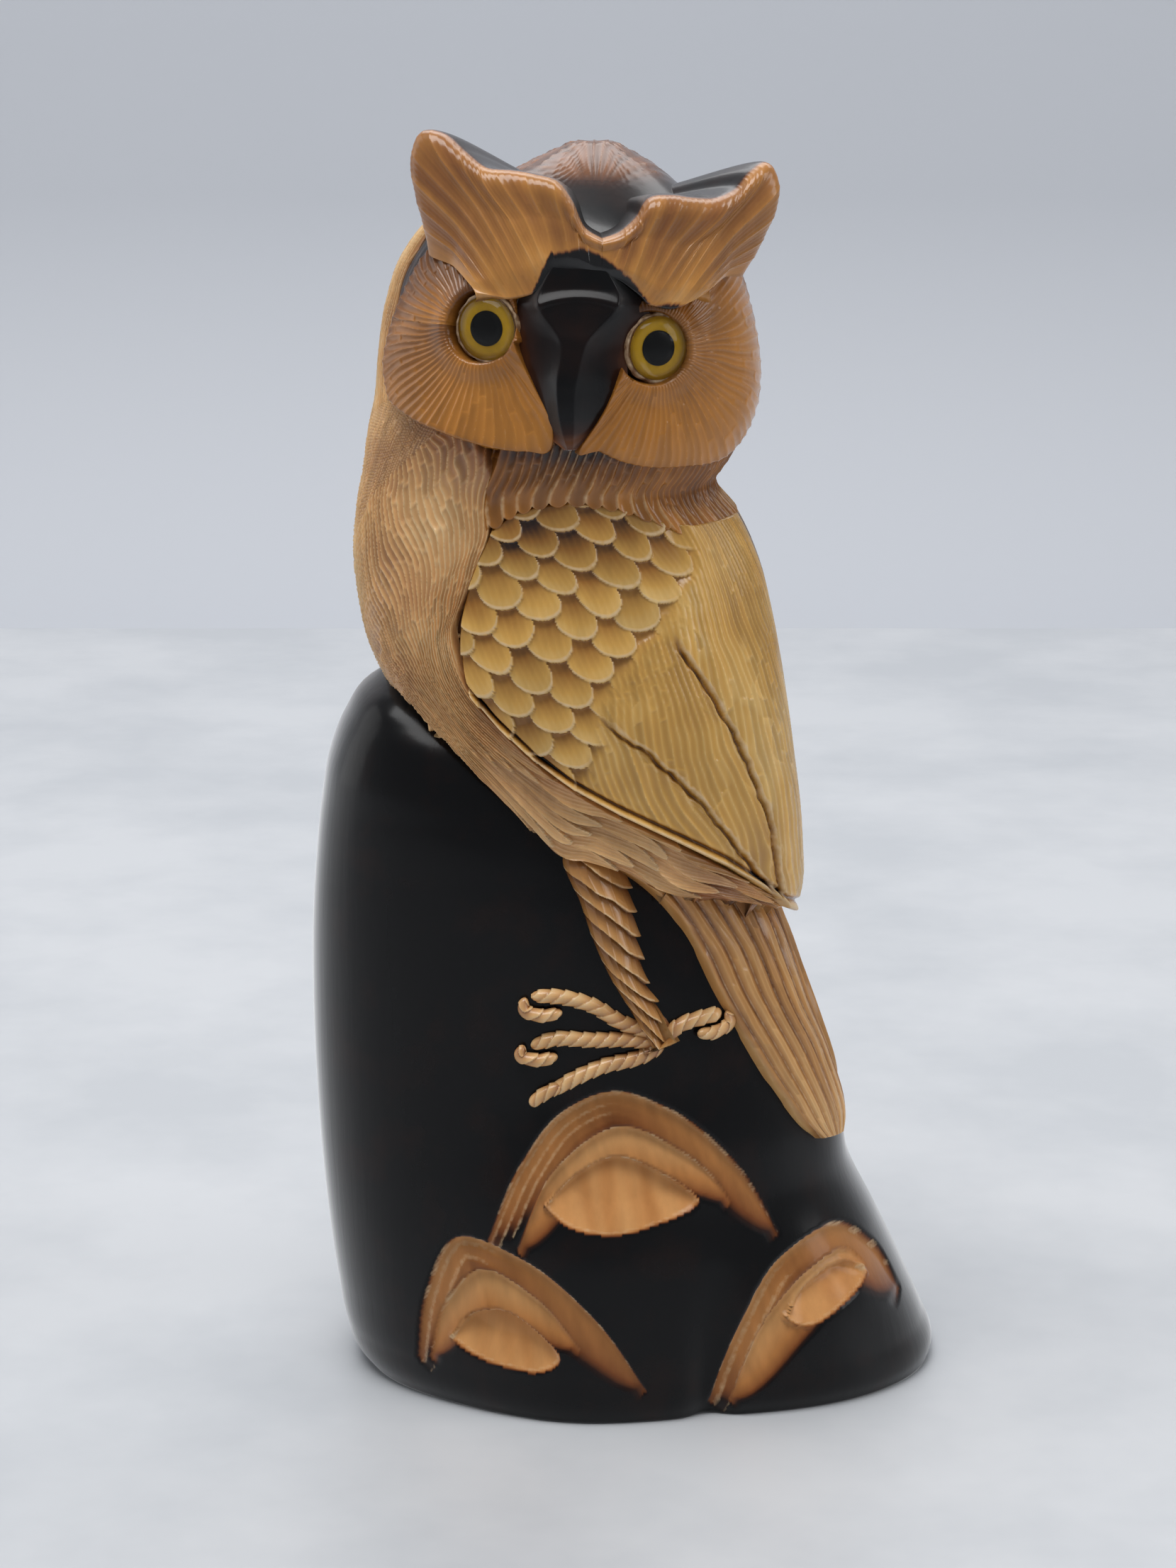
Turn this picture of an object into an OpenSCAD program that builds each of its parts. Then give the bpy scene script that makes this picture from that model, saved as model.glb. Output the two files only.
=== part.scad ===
// Owl perched on a rock, carved from one piece of buffalo horn, with two glass eyes.
// Frame: millimetres, +Z up, the owl's left side towards -Y, its breast towards -X.
// Origin: centre of the base, on the surface the figure stands on.

/* [Overall] */
// Height from the base to the tip of the taller ear tuft
figure_h = 165; // [138:1:198]
// Width of the rock from left to right, its widest part
figure_w = 84.2; // [70:0.2:101]
// Depth of the rock from front to back at the base
figure_d = 54; // [45:1:65]

/* [Glass eyes] */
// Diameter of a glass eye
eye_d = 8; // [6.6:0.1:9.6]
// Height of the clear dome above its straight rim
dome_h = 1.9; // [1.2:0.1:2.4]
// Height of the straight rim of the dome
rim_h = 0.7; // [0.5:0.1:1]
// Diameter of the black pupil
pupil_d = 4.2; // [3:0.1:5]
// Thickness of the pupil enamel, sunk in the back of the dome
pupil_t = 0.3; // [0.2:0.05:0.4]
// Thickness of the yellow iris enamel
iris_t = 0.5; // [0.3:0.05:0.8]
// Width of the adhesive that shows round an eye
bed_w = 0.5; // [0.3:0.05:0.8]
// Thickness of the adhesive under an eye
bed_t = 0.6; // [0.4:0.05:1]
// Clearance between the adhesive and its socket
socket_gap = 0.08; // [0.05:0.01:0.15]
// Turn of each eye away from straight ahead
eye_turn = 27; // [20:1:32]

/* [Carved relief] */
// How far the folded wing stands out of the body
wing_relief = 1.1; // [0.6:0.1:1.8]
// How far the tail stands out of the rock
tail_relief = 2; // [1.2:0.1:3]
// How far the leg stands out of the rock
leg_relief = 2.4; // [1.2:0.1:3]
// How far the toes stand out of the rock
toe_relief = 1.3; // [0.8:0.1:2]
// Width of a toe
toe_w = 2.4; // [1.8:0.1:3]

/* [Scalloped facets of the rock] */
// Thickness of the amber horn bared at a facet
facet_t = 1.6; // [1:0.1:2.4]
// Depth of each terrace below the one around it
facet_step = 0.6; // [0.3:0.1:0.8]

/* [Hidden] */

ring_n = 44;        // points round a level
squareness = 2.3;   // exponent of a level's outline, 2 is an ellipse
far = 60;           // longer than any half depth of the figure

// The shapes are drawn at 165 x 84.2 x 54 and stretched to the overall sizes
kx = figure_w / 84.2;
ky = figure_d / 54;
kz = figure_h / 165;

// A level is [height, left, right, front, back] in millimetres
rock_levels = [
    [0, -35.6, 41.6, -24, 24], [2, -37.2, 42.1, -24.8, 24.8], [6, -38.6, 40.6, -25, 25],
    [12, -39.6, 37.8, -24.8, 24.8], [20, -40.6, 33.8, -24.2, 24.2], [28, -41.3, 30, -23.4, 23.4],
    [36, -41.8, 28.8, -22.6, 22.6], [44, -42.1, 26.4, -21.9, 21.9], [54, -42.1, 23, -21.2, 21.2],
    [62, -41.9, 19.4, -20.7, 20.7], [70, -41.5, 15, -20.2, 20.2], [78, -40.8, 8, -19.4, 19.4],
    [85, -39.5, -4, -17.6, 17.6], [90, -37.3, -14, -14.5, 14.5], [93.5, -34.8, -21, -10.5, 10.5],
    [95.5, -32, -25, -6, 6]];
lobe_levels = [
    [0, -30, 16, -27, 27], [3, -31.5, 16.5, -26.8, 26.8], [12, -33, 16, -25.8, 25.8],
    [24, -35, 14, -24.4, 24.4], [40, -37, 8, -22, 22]];
body_levels = [
    [64, -4, 20.6, -16, 16], [66, -8, 22, -18.6, 18.6], [69, -14, 22.6, -20.4, 20.4],
    [72.5, -19.5, 22.5, -21.6, 21.6], [78, -22.8, 22.1, -22.6, 22.6], [85, -27.2, 21.2, -23, 23],
    [92, -30.4, 20.2, -23, 23], [98, -33, 19.2, -22.6, 22.6],
    [104, -34.6, 18, -21.8, 21.8], [110, -35.3, 16.4, -20.8, 20.8], [116, -35.3, 13.8, -19.8, 19.6],
    [122, -34.8, 10.6, -18.8, 17.6]];
head_levels = [
    [119, -33.6, 9.5, -17.5, 15.5], [122, -34.4, 12, -20, 16.6], [126, -33.8, 14.2, -21.5, 17.2],
    [131, -32.6, 16, -22, 17.6], [138, -31.3, 16.7, -21.8, 18], [144, -29.8, 15.6, -21, 18],
    [150, -27, 13.8, -19.2, 17], [154, -24, 11.5, -16.5, 15], [158, -18.5, 6.5, -11.5, 11.5],
    [161.5, -12, 2, -6, 7.5], [163.6, -7.5, -1.8, -1.5, 3.2]];

// Outlines as seen from the front, [across, up]
wing_outline = [
    [-17.4, 117.4], [-21, 108.8], [-22.3, 104.5], [-21.8, 99], [-20.6, 95.8], [-16.5, 91.3],
    [-11.4, 86.8], [-6.3, 83.6], [0, 80.3], [6.3, 77.2], [12.8, 73.5], [20, 67], [24, 65],
    [24, 112], [11, 116], [7.6, 115.9], [4, 117.6], [0, 119.6], [-7.2, 120.9], [-11.4, 120.4],
    [-14.8, 119.4]];
tail_outline = [
    [-2, 75], [5, 70], [8, 64], [11.4, 57], [15, 50.4], [19, 43], [22.8, 37.6], [26, 34.4], [30, 32.6],
    [34, 34], [34, 75]];
// The leg and the toes are chains of circles, [across, up, share of the toe width]
leg_chain = [[-4.8, 74, 3.3], [-2.9, 66.7, 2.7], [-0.2, 58.6, 1.8], [4, 51, 0.9]];
toe_chains = [
    [[4, 51, 1], [-2.5, 54.8, 0.9], [-8, 56.6, 1], [-12.6, 56.4, 0.9]],
    [[4, 51, 1], [-3.4, 50.6, 0.9], [-9.8, 50.4, 1], [-14, 48.6, 0.8]],
    [[4, 51, 1], [-1, 48.4, 0.9], [-6.2, 46.2, 1], [-11.2, 43.4, 0.8]],
    [[4, 51, 1], [7.5, 52.8, 0.9], [11, 54, 1], [13, 53.2, 0.7]]];

// A facet is [corner to corner width, rise of its upper arc, rise of its lower arc]
facet_shapes = [
    [[37, 20, -3], [27, 12, -1.5], [20, 6.5, 3.5]],
    [[30.6, 17.5, -1.5], [20.7, 11.5, -1], [15, 5.5, 2]],
    [[28.4, 15.5, -1.5], [19, 9, -1], [12.6, 3.2, 1.8]]];
// Where a facet's middle sits and how far it leans, [across, up, angle]
facet_places = [[[0.8, 24.2, 0], [-1.7, 28, 18], [-1, 29.2, 0]],
                [[-12.7, 5.8, -3], [-16.2, 9, 10], [-16, 9.6, -5]],
                [[23.6, 6.8, 20], [24.5, 10, 24], [26, 14.2, 21]]];

// A ball of the head is [across, depth, up, radius]
brow_left = [[-24.6, -12, 163.7, 1.3], [-19.5, -14.6, 160.6, 1.6], [-12, -17.2, 158.2, 1.8],
             [-4.6, -19, 152.6, 1.8], [-9, -20.6, 147, 2], [-26.4, -11, 149, 2], [-14, -4, 150, 8]];
brow_right = [[17, -12, 159.8, 1.3], [11.5, -14.6, 158.6, 1.6], [4, -17.2, 156.8, 1.8],
              [-3, -19, 152.6, 1.8], [-3, -20.6, 146.6, 2], [14.4, -11, 147.4, 2], [0, -4, 150, 8]];
bill = [[-12, -20.4, 145, 1.1], [0.2, -20.6, 144.6, 1.1], [-10.6, -22.4, 146, 0.9],
        [-1.8, -22.6, 145.6, 0.9], [-6.2, -24.6, 140.5, 1], [-8.2, -24.2, 128.8, 1.1],
        [-9.4, -20, 132, 2], [-6, -16, 140, 3]];
forehead = [[-4.4, -20.4, 150.4, 0.8], [-9.4, -21.6, 146.4, 1], [-2.4, -21.8, 146, 1],
            [-6, -17, 146, 2]];

// Middle of each eye at the face, [across, depth, up, turn towards +X]
eye_left = [-17.6, -19.6, 142.1, -eye_turn];
eye_right = [3.2, -19.6, 139.7, eye_turn];
bed_d = eye_d + 2 * bed_w;
eye_sink = bed_t + iris_t + rim_h;   // depth of the socket below the face
socket_lead = 6;                     // the socket's cutter runs this far out of the face

horn_black = [0.11, 0.11, 0.12];
horn_amber = [0.73, 0.48, 0.25];
horn_pale = [0.80, 0.56, 0.33];

// x to the power p with its sign kept
function spow(x, p) = sign(x) * pow(abs(x), p);

// Points of one level, spread outwards by grow
function ring(level, grow) = [
    for (i = [0:ring_n - 1])
        let (a = 360 * i / ring_n,
             half_w = (level[2] - level[1]) / 2 * kx + grow,
             half_d = (sin(a) < 0 ? -level[3] : level[4]) * ky + grow)
        [(level[1] + level[2]) / 2 * kx + half_w * spow(cos(a), 2 / squareness),
         half_d * spow(sin(a), 2 / squareness),
         level[0] * kz]];

// Solid through a stack of levels
module loft(levels, grow = 0) {
    for (i = [0:len(levels) - 2])
        hull()
            polyhedron(points = concat(ring(levels[i], grow), ring(levels[i + 1], grow)),
                       faces = [[for (k = [0:2 * ring_n - 1]) k]]);
}

// Rounded solid stretched over balls
module stretched(balls)
    hull()
        for (b = balls)
            translate([b[0] * kx, b[1] * ky, b[2] * kz])
                sphere(r = b[3], $fn = 20);

// Outline in the upright plane, carried from front to back
module through(from = -far, to = far)
    translate([0, to, 0])
        rotate([90, 0, 0])
            linear_extrude(to - from)
                scale([kx, kz])
                    children();

// Chain of circles joined one to the next
module chain(links, w)
    for (i = [0:len(links) - 2])
        hull() {
            translate([links[i][0], links[i][1]])
                circle(d = links[i][2] * w, $fn = 20);
            translate([links[i + 1][0], links[i + 1][1]])
                circle(d = links[i + 1][2] * w, $fn = 20);
        }

// Radius of the arc over a chord w with rise h
function arc_r(w, h) = (w * w / 4 + h * h) / (2 * h);

// Points of the arc from one corner of a chord w to the other, rising by h
function arc(w, h, n = 14) =
    let (r = arc_r(w, h), half = 2 * atan(2 * h / w))
    [for (i = [0:n]) let (a = half * (2 * i / n - 1)) [r * sin(a), r * cos(a) - r + h]];

// Lens between an upper arc and a lower arc
module lens(shape)
    polygon(concat(arc(shape[0], shape[1]),
                   [for (p = arc(shape[0], -shape[2])) [-p[0], p[1]]]));

module rock_blank(grow = 0) {
    loft(rock_levels, grow);
    loft(lobe_levels, grow);
}

// One terrace of a facet, cut into the front of the rock
module terrace(group, step)
    through(-far, 0)
        translate([facet_places[group][step][0], facet_places[group][step][1]])
            rotate(facet_places[group][step][2])
                lens(facet_shapes[group][step]);

// Amber horn left in a facet, with its three terraces
module facet(group)
    color(horn_pale)
        difference() {
            intersection() {
                rock_blank(-facet_step);
                terrace(group, 0);
            }
            rock_blank(-facet_step * 3 - facet_t);
            for (step = [1:2])
                difference() {
                    terrace(group, step);
                    rock_blank(-facet_step * (step + 1));
                }
        }

module rock()
    color(horn_black)
        difference() {
            rock_blank();
            for (group = [0:2])
                difference() {
                    terrace(group, 0);
                    rock_blank(-facet_step * 3 - facet_t);
                }
        }

module facet_centre() facet(0);
module facet_left() facet(1);
module facet_right() facet(2);

// Cutter or solid of revolution set at an eye, outwards along its axis
module at_eye(eye)
    translate([eye[0] * kx, eye[1] * ky, eye[2] * kz])
        rotate([90, 0, eye[3]])
            translate([0, 0, -eye_sink])
                children();

module socket(eye)
    at_eye(eye)
        translate([0, 0, -socket_gap])
            cylinder(h = eye_sink + socket_lead, d = bed_d + 2 * socket_gap, $fn = 48);

module bill_blank() {
    stretched(bill);
    stretched(forehead);
}

module owl()
    color(horn_amber)
        difference() {
            union() {
                loft(body_levels);
                loft(head_levels);
                stretched(brow_left);
                stretched(brow_right);
                intersection() {
                    loft(body_levels, wing_relief);
                    through()
                        polygon(wing_outline);
                }
                intersection() {
                    rock_blank(tail_relief);
                    through()
                        polygon(tail_outline);
                }
                intersection() {
                    rock_blank(leg_relief);
                    through()
                        chain(leg_chain, toe_w);
                }
                intersection() {
                    rock_blank(toe_relief);
                    through()
                        for (links = toe_chains)
                            chain(links, toe_w);
                }
            }
            rock_blank();
            bill_blank();
            socket(eye_left);
            socket(eye_right);
        }

module beak()
    color(horn_black)
        difference() {
            bill_blank();
            socket(eye_left);
            socket(eye_right);
        }

// Adhesive cup that holds an eye
module eye_bed(eye)
    color([0.86, 0.82, 0.72])
        at_eye(eye)
            difference() {
                cylinder(h = eye_sink, d = bed_d);
                translate([0, 0, bed_t])
                    cylinder(h = eye_sink, d = eye_d);
            }

module eye_iris(eye)
    color([0.79, 0.60, 0.12])
        at_eye(eye)
            translate([0, 0, bed_t])
                cylinder(h = iris_t, d = eye_d);

module eye_pupil(eye)
    color([0.03, 0.03, 0.03])
        at_eye(eye)
            translate([0, 0, bed_t + iris_t])
                cylinder(h = pupil_t, d = pupil_d);

// Clear glass: a straight rim, a domed top, and a pocket behind for the pupil
module eye_dome(eye) {
    ball_r = arc_r(eye_d, dome_h);
    color([0.9, 0.95, 1, 0.4])
        at_eye(eye)
            translate([0, 0, bed_t + iris_t])
                difference() {
                    union() {
                        cylinder(h = rim_h, d = eye_d);
                        intersection() {
                            translate([0, 0, rim_h + dome_h - ball_r])
                                sphere(r = ball_r);
                            translate([0, 0, rim_h])
                                cylinder(h = dome_h, d = eye_d);
                        }
                    }
                    cylinder(h = pupil_t, d = pupil_d);
                }
}

module eye_bed_left() eye_bed(eye_left);
module eye_iris_left() eye_iris(eye_left);
module eye_pupil_left() eye_pupil(eye_left);
module eye_dome_left() eye_dome(eye_left);
module eye_bed_right() eye_bed(eye_right);
module eye_iris_right() eye_iris(eye_right);
module eye_pupil_right() eye_pupil(eye_right);
module eye_dome_right() eye_dome(eye_right);

rock();
facet_centre();
facet_left();
facet_right();
owl();
beak();
eye_bed_left();
eye_iris_left();
eye_pupil_left();
eye_dome_left();
eye_bed_right();
eye_iris_right();
eye_pupil_right();
eye_dome_right();
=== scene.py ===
import math
import bpy
import numpy as np
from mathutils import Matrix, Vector


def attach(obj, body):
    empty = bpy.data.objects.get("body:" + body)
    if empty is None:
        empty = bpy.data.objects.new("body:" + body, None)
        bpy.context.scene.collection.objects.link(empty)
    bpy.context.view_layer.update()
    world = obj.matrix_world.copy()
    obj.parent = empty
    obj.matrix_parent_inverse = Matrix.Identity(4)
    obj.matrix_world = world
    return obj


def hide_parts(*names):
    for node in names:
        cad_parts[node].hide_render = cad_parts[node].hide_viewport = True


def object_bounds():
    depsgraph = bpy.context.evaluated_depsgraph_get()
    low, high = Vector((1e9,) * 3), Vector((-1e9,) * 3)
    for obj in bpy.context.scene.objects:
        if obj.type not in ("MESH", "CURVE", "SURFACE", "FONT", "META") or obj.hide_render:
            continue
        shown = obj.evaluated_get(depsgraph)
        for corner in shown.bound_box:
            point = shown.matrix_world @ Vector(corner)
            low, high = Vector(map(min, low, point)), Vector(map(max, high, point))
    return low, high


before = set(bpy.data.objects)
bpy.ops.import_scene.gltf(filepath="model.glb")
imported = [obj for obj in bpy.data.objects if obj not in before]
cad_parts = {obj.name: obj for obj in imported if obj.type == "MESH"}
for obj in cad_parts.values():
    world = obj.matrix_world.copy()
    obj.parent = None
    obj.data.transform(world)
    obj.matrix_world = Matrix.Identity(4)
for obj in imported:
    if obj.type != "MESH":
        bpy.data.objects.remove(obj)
cadLow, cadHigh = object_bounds()

# Everything below is worked out in millimetres as drawn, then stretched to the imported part's box.
drawnSize = np.array([84.2, 54.0, 165.0])
metresPerMm = (np.array(cadHigh) - np.array(cadLow)) / drawnSize
print("frame loaded, stretch", (metresPerMm * 1000).round(4))


def smoothThrough(at, values, where):
    # cubic curve through the values, its slope at each one taken from its neighbours
    at, values = np.asarray(at, float), np.asarray(values, float)
    slopes = np.gradient(values, at, axis=0)
    where = np.clip(where, at[0], at[-1])
    k = np.clip(np.searchsorted(at, where, side="right") - 1, 0, len(at) - 2)
    width = at[k + 1] - at[k]
    t = (where - at[k]) / width
    if values.ndim > 1:
        extra = (1,) * (values.ndim - 1)
        t, width = t.reshape(t.shape + extra), width.reshape(width.shape + extra)
    return ((2 * t**3 - 3 * t**2 + 1) * values[k] + (t**3 - 2 * t**2 + t) * width * slopes[k]
            + (3 * t**2 - 2 * t**3) * values[k + 1] + (t**3 - t**2) * width * slopes[k + 1])


def follow(points, t):
    # the place a share t of the way along a smooth line through points, by chord length
    points = np.asarray(points, float)
    run = np.concatenate([[0], np.cumsum(np.linalg.norm(np.diff(points, axis=0), axis=1))])
    return smoothThrough(run / run[-1], points, np.asarray(t, float))


def ease(low, high, x):
    # 0 below low, 1 above high, a smooth S between
    t = np.clip((x - low) / (high - low), 0, 1)
    return t * t * (3 - 2 * t)


def bell(x, middle, width):
    # 1 at middle, falling away on both sides as exp(-((x - middle) / width)^2)
    return np.exp(-((x - middle) / width) ** 2)


def blend(first, second, share):
    # the first where share is 0, the second where it is 1
    return first * (1 - share) + second * share


def lineAt(points, x):
    # height of a drawn line of (x, y) points at each x, straight between them
    return np.interp(x, *np.array(points).T)


def flatGrid(columns, rows, low=0, high=1, left=0, right=1, closed=False):
    # two whole arrays, one running from left to right by columns, one from low to high by rows
    return np.meshgrid(np.linspace(left, right, columns, endpoint=not closed), np.linspace(low, high, rows),
                       indexing="ij")


def chance(n, seed):
    # a steady number from 0 to 1 for each whole number n
    return np.modf(np.abs(np.sin(n * 12.9898 + seed * 78.233 + 1.7)) * 43758.5453)[0]


def cloud(u, v, size, seed):
    # soft noise from -1 to 1 with lumps of that size: four hashed corners blended by S curves, on a lattice turned 37
    # degrees
    u, v = np.broadcast_arrays(np.asarray(u, float) / size, np.asarray(v, float) / size)
    a, b = 0.8 * u + 0.6 * v, 0.8 * v - 0.6 * u
    i, j = np.floor(a), np.floor(b)
    fa, fb = ease(0, 1, a - i), ease(0, 1, b - j)
    c00, c10 = chance(i + 57 * j, seed), chance(i + 1 + 57 * j, seed)
    c01, c11 = chance(i + 57 * (j + 1), seed), chance(i + 1 + 57 * (j + 1), seed)
    return 2 * ((c00 * (1 - fa) + c10 * fa) * (1 - fb) + (c01 * (1 - fa) + c11 * fa) * fb) - 1


def gouges(across, along, seed):
    # lanes of hollow cuts with ridges between: each cut starts deep and round and runs out shallow.
    # gives the hollow from 0 to 1, a tone for each cut, and how near the ridge is
    lane = np.floor(across)
    place = across - lane
    run = along + chance(lane, seed)
    cut = np.floor(run)
    used = run - cut
    tone = chance(lane * 7 + cut * 3, seed + 1)
    worn = ease(0, 0.16, used) * (1 - 0.25 * used)      # round at the start, shallow at the end
    hollow = (4 * place * (1 - place)) ** 0.75
    ridge = 1 - ease(0, 0.28, np.minimum(place, 1 - place))
    return hollow * (0.55 + 0.45 * worn), tone, ridge


def shingles(u, v, wide, row, deep, lean, seed, half=0.53):
    # staggered round-tipped scales or leaves, v running towards the tips: of the rows that could
    # cover a place, the uppermost wins. The tip is an arch, fuller on one side by the lean.
    # each reaches half a share of the spacing to either side. Gives the distance back from the
    # tip's edge, the place across, and a tone
    u = u + 0.5 * cloud(u, v, 6, seed)
    v = v + 0.5 * cloud(u, v, 7, seed + 1)
    base = np.floor(v / row)
    tipAway, side, tone = np.full(u.shape, -1.0), np.zeros(u.shape), np.zeros(u.shape)
    for k in (-1, 0, 1, 2, 3):
        line = base + k
        shift = 0.5 * (line % 2) * wide
        cell = np.floor((u - shift) / wide + 0.5)
        middle = cell * wide + shift
        kick = 0.2 * row * (chance(cell + line * 13, seed + 2) - 0.5)
        off = (u - middle) / (wide * half)
        arch = deep * np.sqrt(np.clip(1 - off**2, 0, 1)) * (1 + lean * off)
        away = line * row + kick + arch - v
        found = (tipAway < 0) & (away >= 0) & (np.abs(off) < 1)
        tipAway = np.where(found, away, tipAway)
        side = np.where(found, off, side)
        tone = np.where(found, chance(cell * 3 + line * 17, seed + 3), tone)
    return tipAway, side, tone


def besideLine(points, u, v):
    # distance from each (u, v) to a drawn line, and the share of the line's length at its nearest place
    line = np.asarray(points, float)
    run = np.concatenate([[0], np.cumsum(np.linalg.norm(np.diff(line, axis=0), axis=1))])
    best = np.full(np.shape(u), 1e9)
    share = np.zeros(np.shape(u))
    for k in range(len(line) - 1):
        d = line[k + 1] - line[k]
        size = np.hypot(*d)
        t = np.clip(((u - line[k, 0]) * d[0] + (v - line[k, 1]) * d[1]) / size**2, 0, 1)
        far = np.hypot(u - line[k, 0] - t * d[0], v - line[k, 1] - t * d[1])
        near = far < best
        best = np.where(near, far, best)
        share = np.where(near, (run[k] + t * size) / run[-1], share)
    return best, share


def insideShape(points, u, v):
    # True where (u, v) is inside the closed outline: an odd number of its sides lie to the right
    line = np.asarray(points, float)
    inside = np.zeros(np.shape(u), bool)
    for (u0, v0), (u1, v1) in zip(line, np.roll(line, -1, axis=0)):
        if v0 != v1:
            inside ^= ((v0 > v) != (v1 > v)) & (u < (u1 - u0) * (v - v0) / (v1 - v0) + u0)
    return inside


def smoothLine(points, count=60):
    # count points evenly spaced along the curve through points
    return follow(points, np.linspace(0, 1, count))


# each main surface is a function of angle and height, from a table of levels: height, left edge, right edge, depth at
# the front, depth at the back

rockLevels = [
    [0, -35.6, 41.6, 24], [2, -37.2, 42.1, 24.8], [6, -38.6, 40.6, 25], [12, -39.6, 37.8, 24.8],
    [20, -40.6, 33.8, 24.2], [28, -41.3, 30, 23.4], [36, -41.8, 28.8, 22.6], [44, -42.1, 26.4, 21.9],
    [54, -42.1, 23, 21.2], [62, -41.9, 19.4, 20.7], [70, -41.5, 15, 20.2], [78, -40.8, 8, 19.4],
    [85, -39.5, -4, 17.6], [90, -37.3, -14, 14.5], [93.5, -34.8, -21, 10.5], [95.5, -32, -25, 6]]
torsoLevels = [
    [62, -2, 19.8, 14], [66, -8, 22, 18.6], [69, -14, 22.6, 20.4], [72.5, -19.5, 22.5, 21.6],
    [78, -22.8, 22.1, 22.6], [85, -27.2, 21.2, 23], [92, -30.4, 20.2, 23], [98, -33, 19.2, 22.6],
    [104, -34.6, 18, 21.8], [110, -35.3, 16.4, 20.8], [116, -35.2, 13.6, 19.8], [119.5, -34.9, 11.2, 19.2],
    [121.5, -34.5, 10.8, 19.3], [124, -34.1, 12.6, 20], [127, -33.6, 14.4, 20.6], [132, -32.6, 16, 21],
    [138, -31.9, 16.7, 21.4], [144, -30.8, 15.6, 20.6], [150, -28.6, 13.8, 18.8], [154, -25.5, 11.5, 16.5],
    [158, -19.5, 6.5, 11.5]]
headLevels = [
    [119, -33.6, 9.5, 17.5, 15.5], [122, -34.4, 12, 20, 16.6], [126, -33.8, 14.2, 21.3, 17.2],
    [131, -32.6, 16, 21.8, 17.6], [138, -31.8, 16.2, 21.8, 18], [144, -30.6, 15, 21, 18],
    [150, -28.2, 13.4, 19.2, 17], [154, -24.8, 11.5, 16.5, 15], [158, -18.5, 6.5, 11.5, 11.5],
    [161.5, -12, 2, 6, 7.5], [163.6, -7.5, -1.8, 1.5, 3.2]]
squareness = 2.3
mmPerDegree = 0.4    # a round figure for one degree on the head and breast


def ringSurface(levels, grow=0.0):
    # a flattened oval at each height: the reach in a direction is 1 / (|sin|^p + |cos|^p)^(1/p)
    table = np.asarray(levels, float)

    def surface(phi, z):
        phi, z = np.broadcast_arrays(np.radians(phi), z)
        edges = [smoothThrough(table[:, 0], table[:, k], z) for k in range(1, table.shape[1])]
        left, right, front, back = edges if len(edges) == 4 else edges + [edges[2]]
        s, c = np.sin(phi), np.cos(phi)
        reach = (np.abs(s) ** squareness + np.abs(c) ** squareness) ** (-1 / squareness)
        depth = front * ease(-0.15, 0.15, c) + back * (1 - ease(-0.15, 0.15, c))
        return np.stack([(left + right) / 2 + ((right - left) / 2 + grow) * reach * s,
                         -(depth + grow) * reach * c, z], axis=-1)
    return surface


def standOff(surface, phi, z, lift):
    # a point of the surface moved outwards along its normal by lift
    across = surface(phi + 0.5, z) - surface(phi - 0.5, z)
    up = surface(phi, z + 0.3) - surface(phi, z - 0.3)
    normal = np.cross(across, up)
    normal /= np.linalg.norm(normal, axis=-1, keepdims=True)
    return surface(phi, z) + normal * np.asarray(lift)[..., None]


def frontOf(levels, x, z):
    # the front of an oval-ringed surface as a depth y for each x and z
    table = np.asarray(levels, float)
    left, right, front = [smoothThrough(table[:, 0], table[:, k], z) for k in (1, 2, 3)]
    u = np.clip(np.abs((x - (left + right) / 2) / ((right - left) / 2)), 0, 0.995)
    return -front * (1 - u**squareness) ** (1 / squareness)


rockSurface, torsoSurface, headSurface = map(ringSurface, (rockLevels, torsoLevels, headLevels))


def makePiece(name, points, faces, marks, material, stands):
    # points in mm, faces as arrays of three or four corners, marks as one number a point
    mesh = bpy.data.meshes.new(name)
    corners = np.concatenate([f.ravel() for f in faces])
    sizes = np.concatenate([np.full(len(f), f.shape[1]) for f in faces])
    starts = np.concatenate([[0], np.cumsum(sizes)[:-1]])
    mesh.vertices.add(len(points))
    mesh.vertices.foreach_set("co", (points * metresPerMm).astype(np.float32).ravel())
    mesh.loops.add(len(corners))
    mesh.loops.foreach_set("vertex_index", corners.astype(np.int32))
    mesh.polygons.add(len(sizes))
    mesh.polygons.foreach_set("loop_start", starts.astype(np.int32))
    mesh.polygons.foreach_set("use_smooth", np.ones(len(sizes), bool))
    mesh.update(calc_edges=True)
    mesh.validate()
    for mark, values in marks.items():
        data = mesh.attributes.new(mark, "FLOAT", "POINT")
        data.data.foreach_set("value", np.broadcast_to(values, len(points)).astype(np.float32))
    piece = bpy.data.objects.new(name, mesh)
    bpy.context.scene.collection.objects.link(piece)
    mesh.materials.append(material)
    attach(piece, "root")
    if stands:
        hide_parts(*stands)
    return piece


def gridFaces(n, m, wrap=False):
    # four corners for each cell of an n by m grid, first corner order outwards
    i = np.arange(n if wrap else n - 1)[:, None]
    j = np.arange(m - 1)[None, :]
    i2 = (i + 1) % n
    return np.stack([i * m + j, i2 * m + j, i2 * m + j + 1, i * m + j + 1], axis=-1).reshape(-1, 4)


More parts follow.
